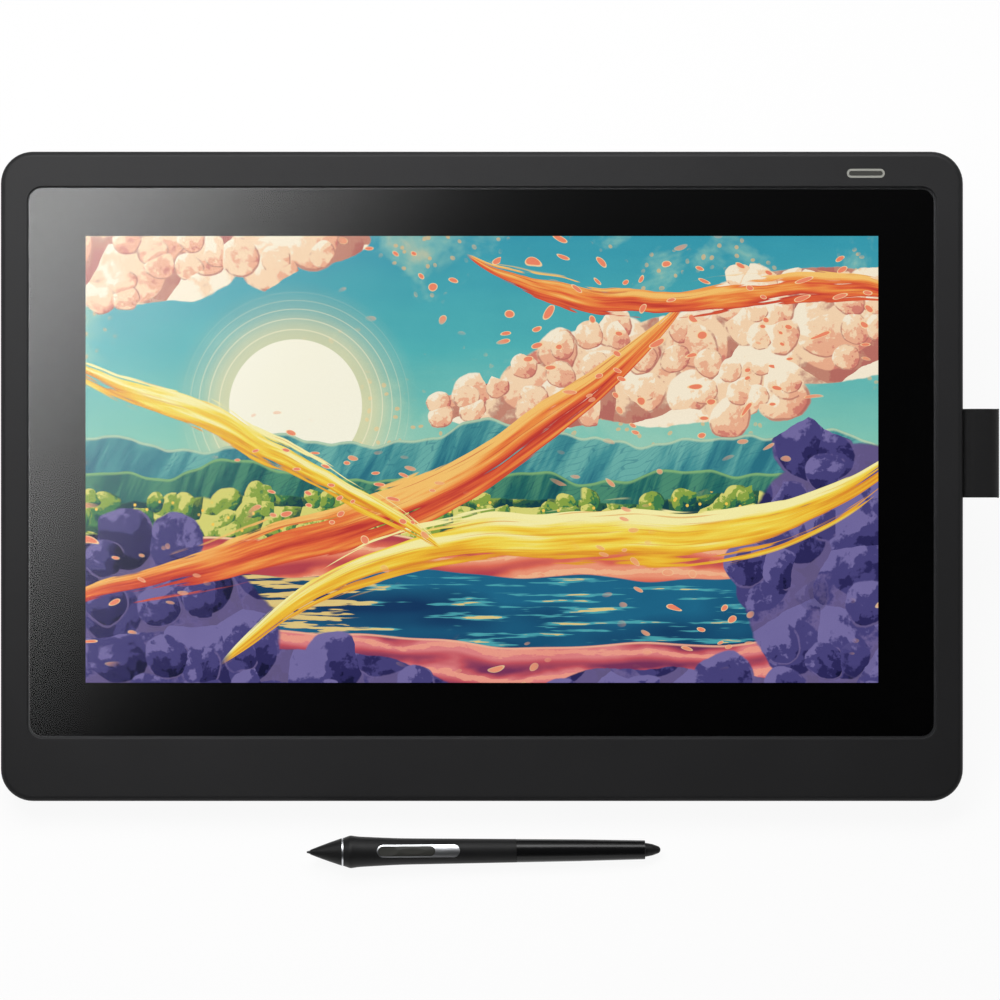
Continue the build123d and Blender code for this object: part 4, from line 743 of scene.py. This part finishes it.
def ribbed_band(material, width, cords, ridge):
    """Sweeps a ribbed strip along a closed path and notes where each point lies."""
    pattern = Pattern("ribbed_band", material, Width=width, Cords=cords, Ridge=ridge)
    path = pattern.node("GeometryNodeMeshToCurve", inputs={0: pattern.inputs})
    path = pattern.node("GeometryNodeSetCurveNormal", {"mode": "Z_UP"}, {0: path})
    reach = pattern.node("GeometryNodeSplineParameter", output="Length")
    path = pattern.note(path, "along", reach)
    half = pattern.size("Width") * 0.5
    ends = {0: pattern.join(0, -half), 1: pattern.join(0, half)}
    strip = pattern.node("GeometryNodeCurvePrimitiveLine", inputs=ends)
    count = pattern.size("Cords") * 6 + 1
    strip = pattern.node("GeometryNodeResampleCurve", inputs={0: strip, "Count": count})
    _, at, _ = pattern.split(pattern.node("GeometryNodeInputPosition"))
    strip = pattern.note(strip, "across", at)
    wave = pattern.math("COSINE", at * (2 * pi) * pattern.size("Cords") / pattern.size("Width"))
    lift = pattern.join(wave * pattern.size("Ridge"), 0)
    strip = pattern.node("GeometryNodeSetPosition", inputs={0: strip, "Offset": lift})
    swept = pattern.node("GeometryNodeCurveToMesh", inputs={0: path, 1: strip})
    pattern.end(pattern.node("GeometryNodeSetShadeSmooth", inputs={0: swept}))
    return pattern


def contact_row(material, count, pitch, size):
    """Lays flat contacts side by side, each of a width, length and thickness."""
    size = dict(zip(("Width", "Length", "Thickness"), size))
    pattern = Pattern("contact_row", material, Count=count, Pitch=pitch, **size)
    start = (1 - pattern.size("Count")) * pattern.size("Pitch") * 0.5
    inputs = {"Count": pattern.size("Count"), "Start Location": pattern.join(start, 0)}
    inputs["Offset"] = pattern.join(pattern.size("Pitch"), 0)
    line = pattern.node("GeometryNodeMeshLine", inputs=inputs)
    extent = pattern.join(*(pattern.size(name) for name in size))
    leaf = pattern.node("GeometryNodeMeshCube", inputs={"Size": extent})
    inputs = {"Points": line, "Instance": leaf}
    pattern.end(pattern.node("GeometryNodeInstanceOnPoints", inputs=inputs))
    return pattern


def dress(material, *slots):
    """Gives every CAD node of these record slots a finish."""
    nodes = [part["node"] for part in frame["record"]["subparts"] if part["material_slot"] in slots]
    if not nodes:
        raise RuntimeError(f"no CAD node has a slot among {slots}")
    for node in nodes:
        materials = frame["nodes"][node].data.materials
        materials.clear()
        materials.append(material)


def colour_property(name, text, colour):
    return FloatVectorProperty(
        name=name, description=text, subtype="COLOR", size=4, min=0, max=1, default=colour
    )


def length_property(name, text, length):
    return FloatProperty(name=name, description=text, unit="LENGTH", default=length, precision=5)


def number_property(name, text, value, unit="NONE"):
    return FloatProperty(name=name, description=text, unit=unit, default=value, min=0)


class ScreenSettings(bpy.types.PropertyGroup):
    """The lit picture and the glass over it."""

    picture_width: length_property("Picture width", "Width of the lit picture", 346.0 * MM)
    picture_height: length_property("Picture height", "Height of the lit picture", 195.0 * MM)
    brightness: number_property("Brightness", "Light of the picture", 1.0)
    etch: number_property("Etch", "Roughness of the glass", 0.17)


class HousingSettings(bpy.types.PropertyGroup):
    """The moulded plastic of the body and the legs."""

    bezel_colour: colour_property("Bezel", "Colour of the front bezel", shade(35, 35, 36))
    cover_colour: colour_property("Cover", "Colour of the cover and the legs", shade(34, 34, 35))
    grain: length_property("Grain", "Width of the eroded grain", 0.45 * MM)
    rubber_colour: colour_property("Rubber", "Colour of the feet", shade(30, 30, 30))


class PenSettings(bpy.types.PropertyGroup):
    """The pen's plastics and plating."""

    grip_colour: colour_property("Grip", "Colour of the grip's coating", shade(21, 21, 22))
    barrel_colour: colour_property("Barrel", "Colour of the rear barrel", shade(16, 16, 17))
    plate_colour: colour_property("Plate", "Colour of the bright trim", shade(228, 230, 234))


class LoopSettings(bpy.types.PropertyGroup):
    """The woven pen loop and the contacts in the cable socket."""

    thickness: length_property("Thickness", "Thickness of the elastic", 0.9 * MM)
    cords: IntProperty(name="Cords", description="Covered cords across the band", default=60, min=4)
    ridge: length_property("Ridge", "Height of a cord over the threads", 0.03 * MM)
    thread_colour: colour_property("Thread", "Colour of the yarn", shade(11, 11, 12))
    contacts: IntProperty(name="Contacts", description="Contacts on each face", default=12)
    pitch: length_property("Pitch", "Distance between contacts", 0.62 * MM)


class StageSettings(bpy.types.PropertyGroup):
    """The floor, the lights and the camera."""

    floor_colour: colour_property("Floor", "Colour of the floor", (0.82, 0.82, 0.82, 1.0))
    floor_glow: number_property("Floor glow", "Share of plain white in the floor", 0.93)
    softbox: number_property("Softbox", "Light of the softbox at its bright corner", 7.6)
    softbox_height: length_property("Softbox height", "Height of the softbox over the glass", 0.5)
    back_power: number_property("Back strip", "Power of the strip behind", 6.2, "POWER")
    fill_power: number_property("Fills", "Power of each low fill light", 1.4, "POWER")
    wall_light: number_property("Walls", "Light of the studio's walls", 0.3)
    lens: number_property("Lens", "Focal length of the camera in millimetres", 240.0)
    view_width: length_property("View width", "Width of the view at the glass", 437.0 * MM)
    view_x: length_property("View right", "Middle of the view, right of the tablet's", 7.9 * MM)
    view_y: length_property("View down", "Middle of the view, below the tablet's", 10.5 * MM)


class PENDISPLAY_OT_housing(bpy.types.Operator):
    """Finish the bezel, the rear cover, the legs, the feet and the screws."""

    bl_idname = "pen_display.housing"
    bl_label = "Housing"

    def execute(self, context):
        look = context.scene.pen_display_housing
        grain = look.grain
        dress(moulded("bezel_plastic", look.bezel_colour, 0.46, grain, 0.035 * MM, 0.17), "matte_black")
        coarse = 1.4 * grain
        dress(moulded("cover_plastic", look.cover_colour, 0.52, coarse, 0.05 * MM, 0.3), "cover_black")
        # The chassis is near black, darker than its grey slot: partly painted shade for the gap round
        # the glass where it shows, partly the black of a gasket there.
        dress(moulded("chassis_plastic", shade(42, 42, 44), 0.5, grain, 0.03 * MM), "chassis_grey")
        dress(rubber(look.rubber_colour), "rubber_black")
        dress(brushed("black_zinc", shade(44, 44, 47), 0.38), "screw_black")
        dress(brushed("ground_steel", shade(188, 189, 192), 0.26), "bright_steel")
        return {"FINISHED"}


class PENDISPLAY_OT_screen(bpy.types.Operator):
    """Finish the glass, its printed border and the lit picture."""

    bl_idname = "pen_display.screen"
    bl_label = "Screen"

    def execute(self, context):
        look = context.scene.pen_display_screen
        dress(etched_glass(look.etch), "etched_glass")
        dress(printed_film(), "print_black")
        dress(picture(look.picture_width, look.picture_height, look.brightness), "screen_cell")
        return {"FINISHED"}


class PENDISPLAY_OT_insides(bpy.types.Operator):
    """Finish the boards, their parts, the ribbons and the light unit."""

    bl_idname = "pen_display.insides"
    bl_label = "Insides"

    def execute(self, context):
        dress(circuit_board(), "board_green")
        dress(moulded("chip_epoxy", shade(36, 36, 38), 0.6, 0.3 * MM, 0.01 * MM), "chip_black")
        dress(ribbon_film(), "ribbon_amber")
        plug = moulded("connector_plastic", shade(226, 223, 214), 0.45, 0.5 * MM, 0.01 * MM)
        dress(plug, "plug_white")
        dress(polished("light_guide", shade(236, 238, 240), 0.2), "light_guide")
        dress(brushed("shield_sheet_metal", shade(200, 201, 203), 0.34), "shield")
        dress(wound_wire(0.16 * MM), "coil_copper")
        return {"FINISHED"}


class PENDISPLAY_OT_button(bpy.types.Operator):
    """Finish the power button and the light ring round it."""

    bl_idname = "pen_display.button"
    bl_label = "Power button"

    def execute(self, context):
        dress(soft_touch("button_plastic", shade(46, 46, 42), 0.42), "button_black")
        dress(polished("ring_plastic", shade(150, 150, 143), 0.34), "ring_light")
        return {"FINISHED"}


class PENDISPLAY_OT_pen(bpy.types.Operator):
    """Finish the pen."""

    bl_idname = "pen_display.pen"
    bl_label = "Pen"

    def execute(self, context):
        look = context.scene.pen_display_pen
        dress(soft_touch("grip_coating", look.grip_colour, 0.42, 0.22), "grip_rubber")
        dress(polished("barrel_plastic", look.barrel_colour, 0.2, 0.3), "barrel_gloss")
        dress(satin_plate(look.plate_colour), "silver_plate")
        dress(moulded("nib_plastic", shade(52, 52, 54), 0.5, 0.3 * MM, 0.01 * MM), "nib_grey")
        return {"FINISHED"}


class PENDISPLAY_OT_loop(bpy.types.Operator):
    """Make the woven pen loop in place of its CAD solid."""

    bl_idname = "pen_display.loop"
    bl_label = "Pen loop"

    def execute(self, context):
        look = context.scene.pen_display_loop
        low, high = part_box("pen_loop")
        tall, deep = high.y - low.y, high.z - low.z
        spread = cos(LEAN) ** 2 - sin(LEAN) ** 2
        width = (tall * cos(LEAN) - deep * sin(LEAN)) / spread
        depth = (deep * cos(LEAN) - tall * sin(LEAN)) / spread
        skin = look.thickness / 2 + look.ridge
        root, end, half = low.x + skin, high.x - skin, depth / 2 - skin
        neck = 2.8 * MM - skin
        bend = root + half - neck
        upper = ((root, neck), (bend, half), (end, half))
        corners = (*upper, (end, -half), (bend, -half), (root, -neck))
        at_root, at_bend, step = 1.0 * MM, 5.0 * MM, 0.6 * MM
        path = rounded_outline(corners, (at_root, at_bend, half, half, at_bend, at_root), step)
        flat = sum((path[n] - path[n - 1]).length for n in range(len(path)))
        material = woven_elastic(look.thread_colour, width / look.cords, 0.55 * MM)
        pattern = ribbed_band(material, width, look.cords, look.ridge)
        across_path = Matrix.Rotation(pi / 2, 4, "X")
        place = leaning(middle("pen_loop") * Vector((0, 1, 1))) @ across_path
        loop = pattern.grow("woven_pen_loop", wire("pen_loop_path", path), place)
        body = loop.modifiers.new("body", "SOLIDIFY")
        body.thickness = look.thickness
        body.offset = 0.0
        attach(loop, "tablet")
        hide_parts("pen_loop")
        return {"FINISHED"}


class PENDISPLAY_OT_contacts(bpy.types.Operator):
    """Lay the gold contacts on both faces of the socket's tongue."""

    bl_idname = "pen_display.contacts"
    bl_label = "Socket contacts"

    def execute(self, context):
        look = context.scene.pen_display_loop
        gold = brushed("contact_gold", shade(214, 176, 96), 0.22)
        thick, reach, tongue = 0.06 * MM, 3.3 * MM, 0.6 * MM
        size = (0.34 * MM, 4.2 * MM, thick)
        pattern = contact_row(gold, look.contacts, look.pitch, size)
        for name, side in (("upper_contacts", 1), ("lower_contacts", -1)):
            on_tongue = Matrix.Translation((0.0, reach, side * (tongue + thick / 2)))
            place = leaning(middle("cable_socket")) @ on_tongue
            contacts = pattern.grow(name, bpy.data.meshes.new(name), place)
            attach(contacts, "tablet")
        return {"FINISHED"}


class PENDISPLAY_OT_stage(bpy.types.Operator):
    """Make the floor, the lights and the camera."""

    bl_idname = "pen_display.stage"
    bl_label = "Stage"

    def execute(self, context):
        look = context.scene.pen_display_stage
        self.make_floor(look)
        self.make_world(context.scene, look)
        self.make_softbox(look)
        self.make_lights(look)
        self.make_camera(context.scene, look)
        context.scene.view_settings.view_transform = "Standard"
        return {"FINISHED"}

    def one_sided(self, name, corners, finish, shader):
        """A flat sheet through four corners, with a shader on its face and clear from behind."""
        clear = finish.node("ShaderNodeBsdfTransparent")
        behind = finish.node("ShaderNodeNewGeometry", output="Backfacing")
        finish.end(finish.node("ShaderNodeMixShader", inputs={0: behind, 1: shader, 2: clear}))
        mesh = bpy.data.meshes.new(name)
        mesh.from_pydata(corners, [], [(0, 1, 2, 3)])
        mesh.materials.append(finish.material)
        return put(name, mesh)

    def make_floor(self, look):
        """A white floor that takes the object's shadow and lets the camera look up through it."""
        half = 4.0
        finish = Finish("floor_paper")
        tooth = finish.noise(finish.place(), 900.0, 2.0)
        inputs = {"Color": look.floor_colour, "Normal": finish.bump(tooth, 0.02 * MM)}
        paper = finish.node("ShaderNodeBsdfDiffuse", inputs=inputs)
        white = finish.node("ShaderNodeEmission", inputs={"Color": WHITE, "Strength": 1.0})
        rays = finish.node("ShaderNodeLightPath")
        seen = finish.math("MAXIMUM", rays.out("Is Camera Ray"), rays.out("Is Glossy Ray"))
        seen = finish.math("MAXIMUM", seen, rays.out("Is Transmission Ray"))
        inputs = {0: look.floor_glow * seen, 1: paper, 2: white}
        lit = finish.node("ShaderNodeMixShader", inputs=inputs)
        corners = ((-half, -half, 0), (half, -half, 0), (half, half, 0), (-half, half, 0))
        self.one_sided("floor", corners, finish, lit)

    def make_world(self, scene, look):
        """White to the camera; to the object, soft pale walls under a dark ceiling."""
        world = bpy.data.worlds.new("studio")
        world.use_nodes = True
        scene.world = world
        studio = Tree(world.node_tree)
        studio.tree.nodes.clear()
        _, _, rise = studio.split(studio.node("ShaderNodeTexCoord", output="Generated"))
        wall_top, ceiling_edge, ceiling_light = 0.20, 0.55, 0.01
        darkness = studio.smooth(rise, wall_top, ceiling_edge)
        walls = look.wall_light + darkness * (ceiling_light - look.wall_light)
        seen = studio.node("ShaderNodeLightPath", output="Is Camera Ray")
        strength = walls * (1 - seen) + seen
        shine = studio.node("ShaderNodeBackground", inputs={"Color": WHITE, "Strength": strength})
        studio.node("ShaderNodeOutputWorld", inputs={"Surface": shine})

    def make_softbox(self, look):
        """A soft light over the screen's upper left that dims to the right and downwards."""
        left, top, size = -0.28, 0.25, 0.56
        bright_left, bright_top, fade_right, fade_down, falloff = -0.214, 0.145, 0.23, 0.324, 1.85
        place = leaning(GLASS_MIDDLE)
        finish = Finish("softbox_cloth")
        across, along, _ = finish.split(finish.place(place.translation, (LEAN, 0, 0)))
        fade = (across - bright_left) / fade_right + (bright_top - along) / fade_down
        shine = finish.math("MINIMUM", finish.math("MAXIMUM", 1.0 - fade, 0.0), 1.0)
        cloth = finish.blend(shine ** falloff, BLACK, WHITE)
        glow = finish.node("ShaderNodeEmission", inputs={"Color": cloth, "Strength": look.softbox})
        square = ((left, top), (left + size, top), (left + size, top - size), (left, top - size))
        corners = [place @ Vector((x, y, look.softbox_height)) for x, y in square]
        softbox = self.one_sided("softbox", corners, finish, glow)
        softbox.visible_camera = False
        softbox.visible_shadow = False

    def make_lights(self, look):
        """Soft lights in the tablet's axes: name, place, where along y they aim, size, power."""
        lean = leaning(GLASS_MIDDLE)
        fill = look.fill_power
        for name, place, aim, wide, deep, power in (
            ("back_strip", (-0.05, 0.42, 0.50), 0.1, 1.0, 0.36, look.back_power),
            ("front_fill", (0.3, -1.2, 0.35), 0.0, 1.2, 0.5, fill),
            ("left_fill", (-1.3, 0.1, 0.2), 0.0, 0.6, 0.5, fill),
            ("right_fill", (1.3, 0.0, 0.2), 0.0, 0.6, 0.5, fill),
            ("rear_fill", (0.2, 1.4, 0.1), 0.0, 1.2, 0.5, fill),
        ):
            light = bpy.data.lights.new(name, "AREA")
            light.shape = "RECTANGLE"
            light.size = wide
            light.size_y = deep
            light.energy = power
            lamp = put(name, light)
            lamp.location = lean @ Vector(place)
            way = lean @ Vector((0.0, aim, 0.0)) - lamp.location
            lamp.rotation_euler = way.to_track_quat("-Z", "Y").to_euler()
            lamp.visible_camera = False

    def make_camera(self, scene, look):
        data = bpy.data.cameras.new("camera")
        data.lens = look.lens
        data.sensor_width = 36.0
        data.clip_end = 50.0
        distance = look.view_width * look.lens / data.sensor_width
        centre = leaning(middle("front_bezel"))
        camera = put("camera", data)
        camera.matrix_world = centre @ Matrix.Translation((look.view_x, -look.view_y, distance))
        scene.camera = camera


OPERATORS = (
    PENDISPLAY_OT_housing,
    PENDISPLAY_OT_screen,
    PENDISPLAY_OT_insides,
    PENDISPLAY_OT_button,
    PENDISPLAY_OT_pen,
    PENDISPLAY_OT_loop,
    PENDISPLAY_OT_contacts,
    PENDISPLAY_OT_stage,
)

SETTINGS = {
    "pen_display_screen": ScreenSettings,
    "pen_display_housing": HousingSettings,
    "pen_display_pen": PenSettings,
    "pen_display_loop": LoopSettings,
    "pen_display_stage": StageSettings,
}


class PENDISPLAY_PT_panel(bpy.types.Panel):
    """Buttons that dress the pen display, in the order in which they run."""

    bl_label = "Pen display"
    bl_space_type = "VIEW_3D"
    bl_region_type = "UI"
    bl_category = "Pen display"

    def draw(self, context):
        for name, group in SETTINGS.items():
            box = self.layout.box()
            for field in group.__annotations__:
                box.prop(getattr(context.scene, name), field)
        for operator in OPERATORS:
            self.layout.operator(operator.bl_idname)


def register():
    for name, group in SETTINGS.items():
        bpy.utils.register_class(group)
        setattr(bpy.types.Scene, name, PointerProperty(type=group))
    for item in (*OPERATORS, PENDISPLAY_PT_panel):
        bpy.utils.register_class(item)


def unregister():
    for item in (PENDISPLAY_PT_panel, *reversed(OPERATORS)):
        bpy.utils.unregister_class(item)
    for name, group in SETTINGS.items():
        delattr(bpy.types.Scene, name)
        bpy.utils.unregister_class(group)


def main():
    """Dresses the part."""
    register()
    bpy.ops.pen_display.housing()
    bpy.ops.pen_display.screen()
    bpy.ops.pen_display.insides()
    bpy.ops.pen_display.button()
    bpy.ops.pen_display.pen()
    bpy.ops.pen_display.loop()
    bpy.ops.pen_display.contacts()
    bpy.ops.pen_display.stage()


if __name__ == "__main__":
    main()
